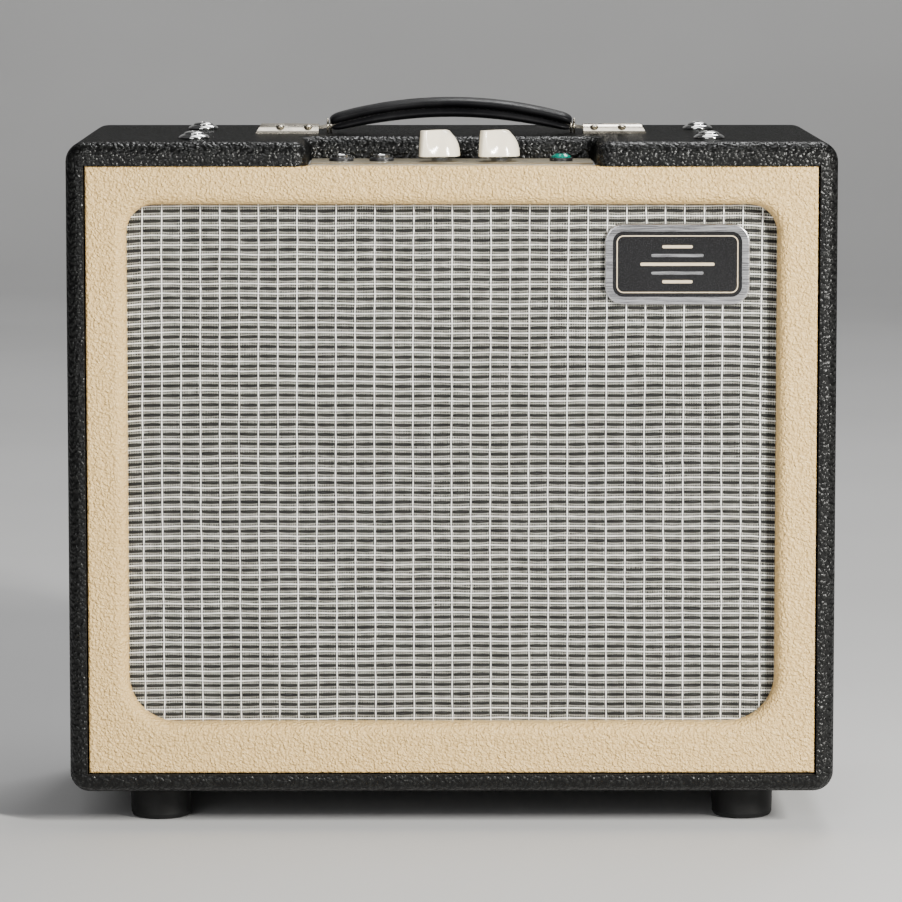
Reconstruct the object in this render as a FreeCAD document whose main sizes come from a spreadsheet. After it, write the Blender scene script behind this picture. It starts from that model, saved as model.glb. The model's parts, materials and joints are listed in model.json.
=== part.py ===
import FreeCAD, Part
import math
import os
import re
import Sketcher

# A small valve guitar amplifier: cabinet, chassis with its controls, handle and loudspeaker.
# X runs to the right, Y to the back, Z up. The origin is under the middle of the cabinet, at
# the bottom of its feet. Every length is in millimetres.

os.makedirs("parts", exist_ok=True)
doc = FreeCAD.newDocument("guitar_amplifier")
sheet = doc.addObject("Spreadsheet::Sheet", "dim")

SIZES = {
    # cabinet
    "cabinet_width": 457, "cabinet_depth": 240, "body_height": 389, "corner_round": 12,
    "edge_round": 9, "cover_thick": 0.8, "side_board": 16, "bottom_board": 16, "top_board": 14,
    "side_rebate": 5.3, "bottom_rebate": 5.1, "notch_half": 85, "notch_depth": 70,
    "notch_round": 5, "batten_wide": 20, "batten_deep": 18,
    # front frame, cloth and baffle
    "frame_inset": 1.5, "frame_thick": 12, "frame_gap": 1, "frame_top_gap": 0.3,
    "border_side": 23.8, "border_top": 23, "border_bottom": 30, "window_round_top": 17,
    "window_round_bottom": 28, "window_edge_round": 7.5, "frame_edge_round": 1.5,
    "cloth_thick": 0.8, "cloth_lap": 10, "cloth_gap": 0.3, "baffle_thick": 12,
    "board_gap": 0.5, "shoulder_gap": 0.2,
    "badge_wide": 86, "badge_tall": 48, "badge_thick": 3, "badge_x": 133.8, "badge_drop": 73,
    "badge_round": 11, "badge_rim": 4.5, "badge_sunk": 0.8, "badge_gap": 0.2,
    # back panels
    "panel_inset": 3, "panel_thick": 6, "lower_panel_tall": 92, "upper_panel_tall": 50,
    # feet
    "foot_height": 22, "foot_top_radius": 18.75, "foot_radius": 18.15, "foot_edge": 3,
    "foot_x": 176.4, "foot_y": 70, "foot_recess": 9, "foot_floor": 8,
    # wood screws
    "screw_radius": 1.9, "screw_head": 4, "screw_sink": 2.2, "screw_crown": 1.1,
    "screw_long": 18, "frame_screw_in": 9, "screw_bury": 1.4,
    # chassis
    "chassis_half": 175, "chassis_gap": 2.5, "chassis_setback": 24, "chassis_height": 45,
    "sheet_thick": 1.2, "base_gap": 0.2, "bolt_x": 154, "bolt_front": 44, "bolt_rear": 172,
    "bolt_radius": 2.5, "bolt_head": 6.1, "bolt_long": 24, "cup_radius": 9.25,
    "cup_rim": 1, "cup_height": 2.7, "cup_hole": 6.4, "crown_height": 2.1, "bolt_slack": 0.3,
    # controls
    "control_setback": 37, "plate_thick": 1, "plate_gap": 1.2, "plate_back_gap": 1.5,
    "jack_one_x": -65.8, "jack_two_x": -41.8, "jack_bore": 3.2, "jack_bush": 4.7,
    "jack_stand": 4.2, "jack_rim": 5.4, "jack_nut": 7.35, "jack_nut_tall": 2.2,
    "jack_case_wide": 19, "jack_case_long": 24, "jack_case_tall": 17,
    "volume_x": -5.9, "tone_x": 29.7, "shaft_radius": 3, "shaft_slack": 0.06,
    "pot_bush": 3.7, "pot_stand": 2.2, "pot_nut": 5.3, "pot_nut_tall": 1.8, "pot_radius": 12,
    "pot_tall": 10, "knob_stand": 2.9, "knob_height": 15.7, "knob_radius": 10.75,
    "knob_reach": 19, "beak_half": 1.9, "ridge_half": 2.4, "beak_lean": 1.8, "knob_bore": 12,
    "pointer_turn": 228, "lamp_x": 65.3, "lamp_bezel": 6.95, "lamp_bezel_tall": 2,
    "lamp_barrel": 5.6, "lamp_long": 22, "jewel_radius": 5.8, "jewel_tall": 2.3,
    "jewel_top": 3.4,
    # rear controls
    "output_one_x": 62, "output_two_x": 96, "attenuator_x": 20, "switch_x": -60,
    "fuse_x": -92, "inlet_x": -135, "lever_tilt": 12, "lever_long": 17, "lever_root": 1.5,
    "lever_tip": 2.5, "switch_bush": 5.9, "switch_bore": 4.6, "switch_stand": 7,
    "switch_wide": 13, "switch_tall": 18, "switch_deep": 20, "inlet_wide": 27.5,
    "inlet_tall": 20, "inlet_deep": 22, "inlet_flange": 4, "inlet_wall": 1.6,
    "inlet_rim": 1.5, "inlet_lip": 2, "inlet_floor": 4, "prong_pitch": 7, "prong_half": 1,
    "prong_tall": 2,
    "fuse_radius": 6.5, "fuse_cap": 8, "fuse_cap_long": 9, "fuse_long": 36,
    # valves, transformers and board
    "socket_radius": 11.5, "socket_flange": 14, "socket_tall": 12, "tube_gap": 0.3,
    "preamp_radius": 10.5, "preamp_long": 48, "power_radius": 15, "power_long": 72,
    "glass_thick": 1, "tube_y": 58, "power_tube_x": -38, "preamp_one_x": 12,
    "preamp_two_x": 52, "mains_iron_x": 122, "mains_iron_y": 42, "mains_iron_wide": 76,
    "mains_iron_deep": 72, "mains_iron_tall": 60, "output_iron_x": -112, "output_iron_y": 48,
    "output_iron_wide": 56, "output_iron_deep": 54, "output_iron_tall": 46,
    "board_wide": 190, "board_deep": 62, "board_thick": 1.6, "board_up": 9, "board_y": -12,
    "post_radius": 2.5, "post_inset": 6, "can_radius": 5, "can_long": 24, "can_start": 22,
    "can_pitch": 38, "can_y": -20, "can_up": 5.2, "saddle_long": 16, "saddle_half": 2,
    "saddle_tall": 3,
    # handle
    "cap_inner": 81, "cap_outer": 119.5, "cap_wide": 22, "cap_tall": 6, "cap_slope": 3.5,
    "cap_edge": 1.6, "cap_round": 0.7, "slot_half": 4.4, "slot_end": 93, "pin_x": 88, "pin_up": 2.2,
    "pin_radius": 1, "eye_radius": 1.9, "eye_slack": 0.15, "link_half": 4, "link_thick": 2,
    "link_inner": 67.5, "grip_half": 73, "grip_rise": 10.6, "grip_up": 4.8, "grip_wide": 24,
    "grip_roll": 8.2, "grip_lower": 3.6, "grip_lower_wide": 17, "grip_ease": 1.5,
    "grip_hem": 0.8, "grip_corner": 3, "mouth_tall": 6.6,
    "mouth_half": 4.8, "mouth_inner": 65.5, "cap_screw_one": 87.5, "cap_screw_two": 104.5,
    "cap_screw_y": 8, "cap_screw_radius": 1.2, "cap_screw_head": 2.5, "cap_screw_room": 0.2,
    "cap_screw_rim": 0.6, "cap_screw_crown": 1.5, "cap_screw_long": 14,
    # loudspeaker
    "speaker_radius": 152.5, "speaker_clear": 4, "speaker_hole": "=speaker_radius - 11.5",
    "gasket_thick": 1.5,
    "gasket_inner": "=speaker_radius - 11", "basket_thick": 1.5,
    "basket_step": "=speaker_radius - 15.5", "basket_wall": "=speaker_radius - 28.5",
    "basket_wall_y": 30, "ledge_outer": 74, "ledge_inner": 64, "ledge_y": 54,
    "seat_outer": 60, "seat_inner": 38, "seat_y": 70, "window_low": 79,
    "window_high": "=speaker_radius - 33.5",
    "window_wide": 42, "windows": 8, "coil_radius": 25.9, "coil_thick": 0.8, "pole_radius": 24.6,
    "gap_radius": 26.4, "top_plate_radius": 70, "top_plate_thick": 7, "magnet_radius": 78,
    "magnet_bore": 32, "magnet_thick": 18, "back_plate_thick": 7, "paper_thick": 1,
    "rim_thick": 0.5, "surround_inner": "=speaker_radius - 37.5",
    "surround_outer": "=speaker_radius - 13", "cone_neck_y": 50,
    "spider_thick": 0.8, "dome_radius": 36, "dome_height": 12, "lead_radius": 2,
    "basket_screw_radius": 2, "basket_screw_long": 11, "basket_screw_head": 4.2,
    "basket_screw_crown": 3, "strip_from": 26, "strip_to": 46, "strip_low": 62,
    "strip_high": 68, "strip_thick": 2, "tab_first": 29, "tab_pitch": 10, "tab_wide": 4,
    "tab_tall": 8, "tab_inset": 0.6,
}

for row, (alias, size) in enumerate(SIZES.items(), start=1):
    sheet.set(f"A{row}", str(size))
    sheet.setAlias(f"A{row}", alias)
doc.recompute()

V = FreeCAD.Vector
AIM = {
    "+Z": FreeCAD.Rotation(),
    "-Z": FreeCAD.Rotation(V(1, 0, 0), 180),
    "+Y": FreeCAD.Rotation(V(1, 0, 0), -90),
    "-Y": FreeCAD.Rotation(V(1, 0, 0), 90),
    "+X": FreeCAD.Rotation(V(0, 1, 0), 90),
    "-X": FreeCAD.Rotation(V(0, 1, 0), -90),
}

# Places that several pieces share, as formulas of the sheet's sizes.
TOP = "(foot_height + body_height)"
FRONT = "(-cabinet_depth/2)"
BACK = "(cabinet_depth/2)"
SIDE = "(cabinet_width/2)"
ROOM = "(cabinet_width/2 - side_board)"
FLOOR = "(foot_height + bottom_board)"
CEILING = f"({TOP} - top_board)"
FRAME_SIDE = f"({ROOM} + side_rebate - frame_gap)"
FRAME_LOW = f"({FLOOR} - bottom_rebate + frame_gap)"
FRAME_HIGH = f"({CEILING} - frame_top_gap)"
FRAME_FRONT = f"({FRONT} + frame_inset)"
FRAME_BACK = f"({FRAME_FRONT} + frame_thick)"
CLOTH_BACK = f"({FRAME_BACK} + cloth_thick)"
BAFFLE_FRONT = f"({CLOTH_BACK} + cloth_gap)"
BAFFLE_BACK = f"({BAFFLE_FRONT} + baffle_thick)"
PANEL_FRONT = f"({BACK} - panel_inset - panel_thick)"
CHASSIS_FRONT = f"({FRAME_BACK} + chassis_gap)"
CHASSIS_BACK = f"({BACK} - chassis_setback)"
CHASSIS_LOW = f"({CEILING} - chassis_height)"
BASE_TOP = f"({CHASSIS_LOW} + sheet_thick)"
BAFFLE_TOP = f"({CHASSIS_LOW} - board_gap)"
NOTCH_BACK = f"({FRONT} + notch_depth)"
CONTROL_Y = f"({FRONT} + control_setback)"
PLATE_TOP = f"({CEILING} + plate_thick)"
REAR_Z = f"({CEILING} - chassis_height/2)"
SPEAKER_Z = f"({FLOOR} + speaker_radius + speaker_clear)"
FLANGE = f"({BAFFLE_BACK} + gasket_thick)"
SEAT_BACK = f"({FLANGE} + seat_y + basket_thick)"
PLATE_BACK = f"({SEAT_BACK} + top_plate_thick)"
MAGNET_BACK = f"({PLATE_BACK} + magnet_thick)"

nodes = []


def bound(formula):
    """Names the sheet before each of its aliases in a formula."""
    return re.sub(
        r"[a-z][a-z_]*",
        lambda word: "dim." + word.group() if word.group() in SIZES else word.group(),
        str(formula),
    )


def value(formula):
    found = sheet.evalExpression(bound(formula))
    return float(getattr(found, "Value", found))


def bind(thing, links):
    for name, formula in links.items():
        thing.setExpression(name, bound(formula))
    return thing


def place(thing, at, turn=None):
    """Puts the thing at three formulas, turned by a fixed rotation."""
    if turn is not None:
        thing.Placement = FreeCAD.Placement(V(), turn)
    return bind(thing, {"Placement.Base." + axis: f for axis, f in zip("xyz", at)})


def node(thing, name):
    """Names a finished sub-part; each is written to a file of that name."""
    thing.Label = name
    nodes.append(thing)
    return thing


def box(name, x, y, z):
    """A block between two formulas along each axis."""
    made = doc.addObject("Part::Box", name)
    sides = zip(("Length", "Width", "Height"), (x, y, z))
    bind(made, {side: f"{high} - ({low})" for side, (low, high) in sides})
    return place(made, (x[0], y[0], z[0]))


def rod(name, aim, radius, length, at):
    made = doc.addObject("Part::Cylinder", name)
    bind(made, {"Radius": radius, "Height": length})
    return place(made, at, AIM[aim])


def group(name, *pieces):
    made = doc.addObject("Part::Compound", name)
    made.Links = list(pieces)
    return made


def cut(name, base, *tools):
    made = doc.addObject("Part::Cut", name)
    made.Base = base
    made.Tool = tools[0] if len(tools) == 1 else group(name + "_tools", *tools)
    return made


def fuse(name, *pieces):
    made = doc.addObject("Part::MultiFuse", name)
    made.Shapes = list(pieces)
    return made


def common(name, first, second):
    made = doc.addObject("Part::MultiCommon", name)
    made.Shapes = [first, second]
    return made


def outline(body, role, points):
    """A closed sketch of straight lines, each corner held by two formulas."""
    sketch = body.newObject("Sketcher::SketchObject", body.Name + "_outline")
    plane = next(o for o in body.Origin.OriginFeatures if o.Role == role)
    sketch.AttachmentSupport = (plane, [""])
    sketch.MapMode = "FlatFace"
    spots = [V(value(u), value(w), 0) for u, w in points]
    last = len(spots) - 1
    for i, spot in enumerate(spots):
        following = spots[0 if i == last else i + 1]
        sketch.addGeometry(Part.LineSegment(spot, following), False)
    for i in range(len(spots)):
        following = 0 if i == last else i + 1
        sketch.addConstraint(Sketcher.Constraint("Coincident", i, 2, following, 1))
    for i, pair in enumerate(points):
        for axis, formula in zip("XY", pair):
            reach = value(formula)
            number = sketch.addConstraint(
                Sketcher.Constraint("Distance" + axis, -1, 1, i, 1, reach)
            )
            sketch.renameConstraint(number, f"corner{i}{axis}")
            sketch.setExpression(f"Constraints.corner{i}{axis}", bound(formula))
    return sketch


def slab(name, role, points, low, high):
    """An outline padded between two formulas along its plane's normal."""
    body = doc.addObject("PartDesign::Body", name)
    pad = body.newObject("PartDesign::Pad", name + "_pad")
    pad.Profile = (outline(body, role, points), [""])
    body.Tip = pad
    bind(pad, {"Length": f"{high} - ({low})"})
    at = {
        "XY_Plane": ("0", "0", low), "XZ_Plane": ("0", high, "0"), "YZ_Plane": (low, "0", "0"),
    }
    place(body, at[role])
    doc.recompute()
    return body


def turned(name, aim, at, points):
    """A profile of (radius, height) corners turned about the aimed axis."""
    body = doc.addObject("PartDesign::Body", name)
    sketch = outline(body, "XZ_Plane", points)
    made = body.newObject("PartDesign::Revolution", name + "_turn")
    made.Profile = (sketch, [""])
    made.ReferenceAxis = (sketch, ["V_Axis"])
    made.Angle = 360
    body.Tip = made
    return place(body, at, AIM[aim])


def pocket(body, points, depth, start="0"):
    """Cuts an outline into a slab drawn on its XZ plane, from a start depth to its front."""
    doc.recompute()
    before = body.Tip.Shape.Volume
    sketch = outline(body, "XZ_Plane", points)
    bind(sketch, {"AttachmentOffset.Base.z": start})
    made = body.newObject("PartDesign::Pocket", body.Name + "_pocket")
    made.Profile = (sketch, [""])
    made.Type = "Length"
    made.Reversed = True
    bind(made, {"Length": depth})
    body.Tip = made
    doc.recompute()
    if made.Shape.Volume >= before:
        raise ValueError(f"the pocket of {body.Name} cuts nothing")


def rounded(body, radius, chosen):
    """Fillets the edges of a body that the test picks, in the body's own frame."""
    doc.recompute()
    base = body.Tip
    names = [
        f"Edge{i}" for i, edge in enumerate(base.Shape.Edges, start=1) if chosen(edge)
    ]
    made = body.newObject("PartDesign::Fillet", f"{body.Name}_round{len(body.Group)}")
    made.Base = (base, names)
    bind(made, {"Radius": radius})
    body.Tip = made
    doc.recompute()
    return body


def ends(edge, axis):
    return [getattr(vertex.Point, axis) for vertex in edge.Vertexes]


def runs_along(axis):
    def test(edge):
        spread = [abs(a - b) for a, b in zip(*(v.Point for v in edge.Vertexes))]
        return len(edge.Vertexes) == 2 and spread["xyz".index(axis)] > 0.99 * edge.Length
    return test


def lies_at(axis, reach):
    return lambda edge: all(abs(end - reach) < 1e-4 for end in ends(edge, axis))


def rectangle(x, y):
    return [(x[0], y[0]), (x[1], y[0]), (x[1], y[1]), (x[0], y[1])]


def copy_at(name, source, aim, at):
    """A linked copy of a piece that is drawn about its own origin."""
    made = doc.addObject("App::Link", name)
    made.LinkedObject = source
    return place(made, at, AIM[aim])


def copies(name, source, places):
    """One group of linked copies, for (aim, at) places."""
    made = [copy_at(f"{name}_{i}", source, aim, at) for i, (aim, at) in enumerate(places)]
    return group(name, *made)


def cabinet_block(name, skin):
    """The cabinet's outer block, drawn in by a skin, with its notch and rolled edges."""
    half, low, high = f"({SIDE} - {skin})", f"(foot_height + {skin})", f"({TOP} - {skin})"
    depth = f"(cabinet_depth - 2*{skin})"
    body = slab(name, "XZ_Plane", rectangle((f"-{half}", half), (low, high)),
                f"{FRONT} + {skin}", f"{BACK} - {skin}")
    rounded(body, f"corner_round - {skin}", runs_along("y"))
    mouth = f"(notch_half + {skin})"
    pocket(body, rectangle((f"-{mouth}", mouth), (CEILING, f"{TOP} + 1")),
           "notch_depth", f"{depth} - notch_depth")
    notch_y = value(f"notch_depth - {depth}")
    rounded(body, "notch_round", lambda e: lies_at("y", notch_y)(e) and runs_along("z")(e))
    return body


def cabinet():
    outer = cabinet_block("cover_block", "0")
    inner = cabinet_block("board_block", "cover_thick")
    for body, skin in ((outer, 0), (inner, value("cover_thick"))):
        doc.recompute()
        front, back = -value("cabinet_depth") + 2 * skin, 0
        top = value(TOP) - skin
        low = value(CEILING)
        notch = value("notch_half") + skin + 1e-3
        notch_y = front + value("notch_depth") + 1e-3

        def rolled(edge):
            if lies_at("y", front)(edge) and not lies_at("z", low)(edge):
                return True
            if lies_at("y", back)(edge):
                return True
            xs, ys = ends(edge, "x"), ends(edge, "y")
            inside = all(abs(x) < notch for x in xs) and all(y < notch_y for y in ys)
            return lies_at("z", top)(edge) and inside

        rounded(body, f"edge_round - {skin}", rolled)
    rebate = box("rebate", (f"-({ROOM} + side_rebate)", f"({ROOM} + side_rebate)"),
                 (f"{FRONT} - 1", f"{CLOTH_BACK} + shoulder_gap"),
                 (f"{FLOOR} - bottom_rebate", CEILING))
    room = box("room", (f"-{ROOM}", ROOM), (f"{FRONT} - 1", f"{BACK} + 1"), (FLOOR, CEILING))
    hollow = fuse("hollow", rebate, room)
    ring = cut("board_ring", inner, hollow)
    skin = cut("cover_skin", cut("cover_ring", outer, hollow), ring)
    everywhere = (f"{FRONT} - 1", f"{BACK} + 1")
    zones = {
        "cabinet_side_left": ((f"-{SIDE}", f"-{ROOM}"), ("0", TOP)),
        "cabinet_side_right": ((ROOM, SIDE), ("0", TOP)),
        "cabinet_bottom": ((f"-{ROOM}", ROOM), ("0", FLOOR)),
        "cabinet_top": ((f"-{ROOM}", ROOM), (CEILING, TOP)),
    }
    boards = {
        name: common(name + "_board", ring, box(name + "_zone", x, everywhere, z))
        for name, (x, z) in zones.items()
    }
    return skin, boards


def wood_screws():
    """Every wood screw of the cabinet, as one group of equal screws."""
    screw = turned("wood_screw", "+Z", ("0", "0", "0"), [
        ("0", "-screw_long"), ("screw_radius*0.4", "-screw_long"),
        ("screw_radius", "-screw_long + 3"), ("screw_radius", "-screw_sink"),
        ("screw_head", "0"), ("screw_head*0.62", "screw_crown*0.8"), ("0", "screw_crown"),
    ])
    batten_x = f"({ROOM} - batten_wide/2)"
    places = []
    for side in ("-", ""):
        for z in (f"{FLOOR} + 22", f"{FLOOR} + lower_panel_tall - 14",
                  f"{CHASSIS_LOW} - upper_panel_tall + 12", f"{CHASSIS_LOW} - 14"):
            places.append(("+Y", (f"{side}{batten_x}", f"{BACK} - panel_inset", z)))
        for z in (f"{FLOOR} + 45", SPEAKER_Z, f"{CHASSIS_LOW} - 48"):
            places.append(("-Y", (f"{side}{batten_x}", f"{BAFFLE_FRONT} + screw_bury", z)))
        for z in (f"{FLOOR} + 14", f"{CHASSIS_LOW} - 14"):
            places.append(("+Y", (f"{side}({FRAME_SIDE} - frame_screw_in)", BAFFLE_BACK, z)))
        for depth in ("-", ""):
            places.append(("-Z", (f"{side}foot_x", f"{depth}foot_y", "foot_height - foot_floor")))
    return copies("wood_screws", screw, places)


def front_frame():
    body = slab("front_board", "XZ_Plane",
                rectangle((f"-{FRAME_SIDE}", FRAME_SIDE), (FRAME_LOW, FRAME_HIGH)),
                FRAME_FRONT, FRAME_BACK)
    half = f"({FRAME_SIDE} - border_side)"
    hole = (f"{FRAME_LOW} + border_bottom", f"{FRAME_HIGH} - border_top")
    pocket(body, rectangle((f"-{half}", half), hole), "frame_thick")
    inside = value(half) + 1e-3
    for radius, height in (("window_round_top", hole[1]), ("window_round_bottom", hole[0])):
        level = value(height)
        rounded(body, radius, lambda e: runs_along("y")(e) and lies_at("z", level)(e)
                and abs(e.Vertexes[0].X) < inside)
    face = -value("frame_thick")
    rounded(body, "window_edge_round", lambda e: lies_at("y", face)(e)
            and abs(e.Vertexes[0].X) < inside)
    rounded(body, "frame_edge_round", lambda e: lies_at("y", face)(e)
            and abs(abs(e.CenterOfMass.x) - inside) > 0.01
            and (abs(e.CenterOfMass.x) > inside
                 or e.CenterOfMass.z < value(hole[0]) - value("window_edge_round") - 1
                 or e.CenterOfMass.z > value(hole[1]) + value("window_edge_round") + 1))
    return body


def front(screws, basket_screws):
    node(cut("front_frame", front_frame(), screws), "front_frame")
    half = f"({FRAME_SIDE} - border_side + cloth_lap)"
    node(box("grille_cloth", (f"-{half}", half), (FRAME_BACK, CLOTH_BACK),
             (f"{FRAME_LOW} + border_bottom - cloth_lap",
              f"{FRAME_HIGH} - border_top + cloth_lap")), "grille_cloth")
    board = box("baffle_blank", (f"-({ROOM} - board_gap)", f"({ROOM} - board_gap)"),
                (BAFFLE_FRONT, BAFFLE_BACK), (f"{FLOOR} + board_gap", BAFFLE_TOP))
    hole = rod("baffle_hole", "+Y", "speaker_hole", "3*baffle_thick",
               ("0", f"{BAFFLE_FRONT} - baffle_thick", SPEAKER_Z))
    node(cut("baffle_board", board, hole, screws, basket_screws), "baffle_board")
    x = ("badge_x - badge_wide/2", "badge_x + badge_wide/2")
    z = (f"{TOP} - badge_drop - badge_tall/2", f"{TOP} - badge_drop + badge_tall/2")
    plate = slab("badge_plate", "XZ_Plane", rectangle(x, z),
                 f"{FRAME_BACK} - badge_gap - badge_thick", f"{FRAME_BACK} - badge_gap")
    rounded(plate, "badge_round", runs_along("y"))
    face = -value("badge_thick")
    rounded(plate, "badge_sunk*1.2", lies_at("y", face))
    sunk = slab("badge_field", "XZ_Plane",
                rectangle((f"{x[0]} + badge_rim", f"{x[1]} - badge_rim"),
                          (f"{z[0]} + badge_rim", f"{z[1]} - badge_rim")),
                f"{FRAME_BACK} - badge_gap - badge_thick - 1",
                f"{FRAME_BACK} - badge_gap - badge_thick + badge_sunk")
    rounded(sunk, "badge_round - badge_rim", runs_along("y"))
    node(cut("name_badge", plate, sunk), "name_badge")


def back(screws):
    battens = []
    for side in (-1, 1):
        x = sorted((f"{side}*({ROOM})", f"{side}*({ROOM} - batten_wide)"), key=value)
        battens.append(box(f"front_batten_{side + 1}", x,
                           (BAFFLE_BACK, f"{BAFFLE_BACK} + batten_deep"),
                           (f"{FLOOR} + 30", f"{CHASSIS_LOW} - 30")))
        battens.append(box(f"rear_batten_{side + 1}", x,
                           (f"{PANEL_FRONT} - batten_deep", PANEL_FRONT),
                           (FLOOR, f"{CHASSIS_LOW} - board_gap")))
    node(cut("battens", group("batten_blanks", *battens), screws), "battens")
    half = f"({ROOM} - board_gap)"
    heights = {
        "lower": (f"{FLOOR} + board_gap", f"{FLOOR} + lower_panel_tall"),
        "upper": (f"{CHASSIS_LOW} - upper_panel_tall", f"{CHASSIS_LOW} - board_gap"),
    }
    for which, z in heights.items():
        panel = slab(f"{which}_panel", "XZ_Plane", rectangle((f"-{half}", half), z),
                     PANEL_FRONT, f"{BACK} - panel_inset")
        rounded(panel, "panel_thick/4", lies_at("y", 0))
        name = f"back_panel_{which}"
        node(cut(name, panel, screws), name)


def feet(screws):
    foot = turned("foot", "+Z", ("0", "0", "0"), [
        ("screw_radius", "foot_height - foot_floor"), ("foot_recess", "foot_height - foot_floor"),
        ("foot_recess", "0"), ("foot_radius - foot_edge", "0"),
        ("foot_radius - foot_edge*0.3", "foot_edge*0.3"), ("foot_radius", "foot_edge"),
        ("foot_top_radius", "foot_height"), ("screw_radius", "foot_height"),
    ])
    places = [("+Z", (f"{x}foot_x", f"{y}foot_y", "0")) for x in ("-", "") for y in ("-", "")]
    node(cut("rubber_feet", copies("foot_copies", foot, places), screws), "rubber_feet")


def bolt_places(z):
    return [
        ("+Z", (f"{x}bolt_x", f"{FRONT} + {y}", z))
        for x in ("-", "") for y in ("bolt_front", "bolt_rear")
    ]


def chassis_bolts():
    washer = turned("cup_washer", "+Z", ("0", "0", "0"), [
        ("bolt_radius + bolt_slack", "0"), ("cup_radius", "0"), ("cup_radius", "cup_rim"),
        ("cup_radius*0.9", "cup_height*0.62"), ("cup_radius*0.74", "cup_height"),
        ("cup_hole + 0.2", "cup_height"), ("bolt_radius + bolt_slack", "0.6"),
    ])
    node(copies("cup_washers", washer, bolt_places(TOP)), "cup_washers")
    blank = turned("bolt_blank", "+Z", ("0", "0", "0"), [
        ("0", "-bolt_long"), ("bolt_radius", "-bolt_long"), ("bolt_radius", "0.75"),
        ("bolt_head", "cup_height"), ("bolt_head*0.9", "cup_height + crown_height*0.38"),
        ("bolt_head*0.7", "cup_height + crown_height*0.7"),
        ("bolt_head*0.38", "cup_height + crown_height*0.93"), ("0", "cup_height + crown_height"),
    ])
    arms = [
        box(f"recess_arm_{i}", (f"-{a}", a), (f"-{b}", b),
            ("cup_height + crown_height*0.2", "cup_height + crown_height + 1"))
        for i, (a, b) in enumerate((("bolt_head*0.5", "bolt_head*0.1"),
                                    ("bolt_head*0.1", "bolt_head*0.5")))
    ]
    bolt = cut("chassis_bolt", blank, fuse("recess", *arms))
    return node(copies("chassis_bolts", bolt, bolt_places(TOP)), "chassis_bolts")


def chassis():
    """The folded steel tray, as its top sheet and its four walls, and the control plate."""
    x = ("-chassis_half", "chassis_half")
    inner_x = ("-chassis_half + sheet_thick", "chassis_half - sheet_thick")
    under = f"({CEILING} - sheet_thick)"
    tall = (CHASSIS_LOW, under)
    top = box("tray_top", x, (CHASSIS_FRONT, CHASSIS_BACK), (under, CEILING))
    front_wall = box("tray_front", x, (CHASSIS_FRONT, f"{CHASSIS_FRONT} + sheet_thick"), tall)
    back_wall = box("tray_back", x, (f"{CHASSIS_BACK} - sheet_thick", CHASSIS_BACK), tall)
    between = (f"{CHASSIS_FRONT} + sheet_thick", f"{CHASSIS_BACK} - sheet_thick")
    left_wall = box("tray_left", (x[0], inner_x[0]), between, tall)
    right_wall = box("tray_right", (inner_x[1], x[1]), between, tall)
    low = f"({CEILING} - 5)"
    deep = "(plate_thick + 10)"
    wells = [rod(f"jack_well_{x}", "+Z", "jack_bush", deep, (x, CONTROL_Y, low))
             for x in ("jack_one_x", "jack_two_x")]
    wells += [rod(f"pot_well_{x}", "+Z", "pot_bush", deep, (x, CONTROL_Y, low))
              for x in ("volume_x", "tone_x")]
    wells.append(rod("lamp_well", "+Z", "lamp_barrel", deep, ("lamp_x", CONTROL_Y, low)))
    control_holes = group("control_holes", *wells)
    rear = f"({CHASSIS_BACK} - 5)"
    ports = [rod(f"port_{x}", "+Y", radius, "10", (x, rear, REAR_Z)) for x, radius in (
        ("output_one_x", "jack_bush"), ("output_two_x", "jack_bush"),
        ("attenuator_x", "pot_bush"), ("switch_x", "switch_bush"), ("fuse_x", "fuse_radius"))]
    ports.append(box("port_inlet", ("inlet_x - inlet_wide/2", "inlet_x + inlet_wide/2"),
                     (rear, f"{rear} + 10"),
                     (f"{REAR_Z} - inlet_tall/2", f"{REAR_Z} + inlet_tall/2")))
    bolts = group("bolt_shanks", *[
        rod(f"bolt_shank_{i}", "-Z", "bolt_radius", "bolt_long", at)
        for i, (_, at) in enumerate(bolt_places(TOP))])
    node(cut("chassis", top, control_holes, bolts), "chassis")
    node(group("chassis_walls", front_wall, cut("tray_back_open", back_wall, *ports),
               left_wall, right_wall), "chassis_walls")
    plate = slab("plate_blank", "XY_Plane",
                 rectangle(("-(notch_half - plate_gap)", "notch_half - plate_gap"),
                           (CHASSIS_FRONT, f"{NOTCH_BACK} - plate_back_gap")),
                 CEILING, PLATE_TOP)
    rounded(plate, "notch_round - 1", lambda e: runs_along("z")(e) and e.Vertexes[0].Y
            > value(CONTROL_Y))
    node(cut("control_plate", plate, control_holes), "control_plate")
    clearance = group("bolt_ways", *[
        rod(f"bolt_way_{i}", "-Z", "bolt_radius + bolt_slack", "bolt_long", at)
        for i, (_, at) in enumerate(bolt_places(TOP))])
    return clearance


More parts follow.
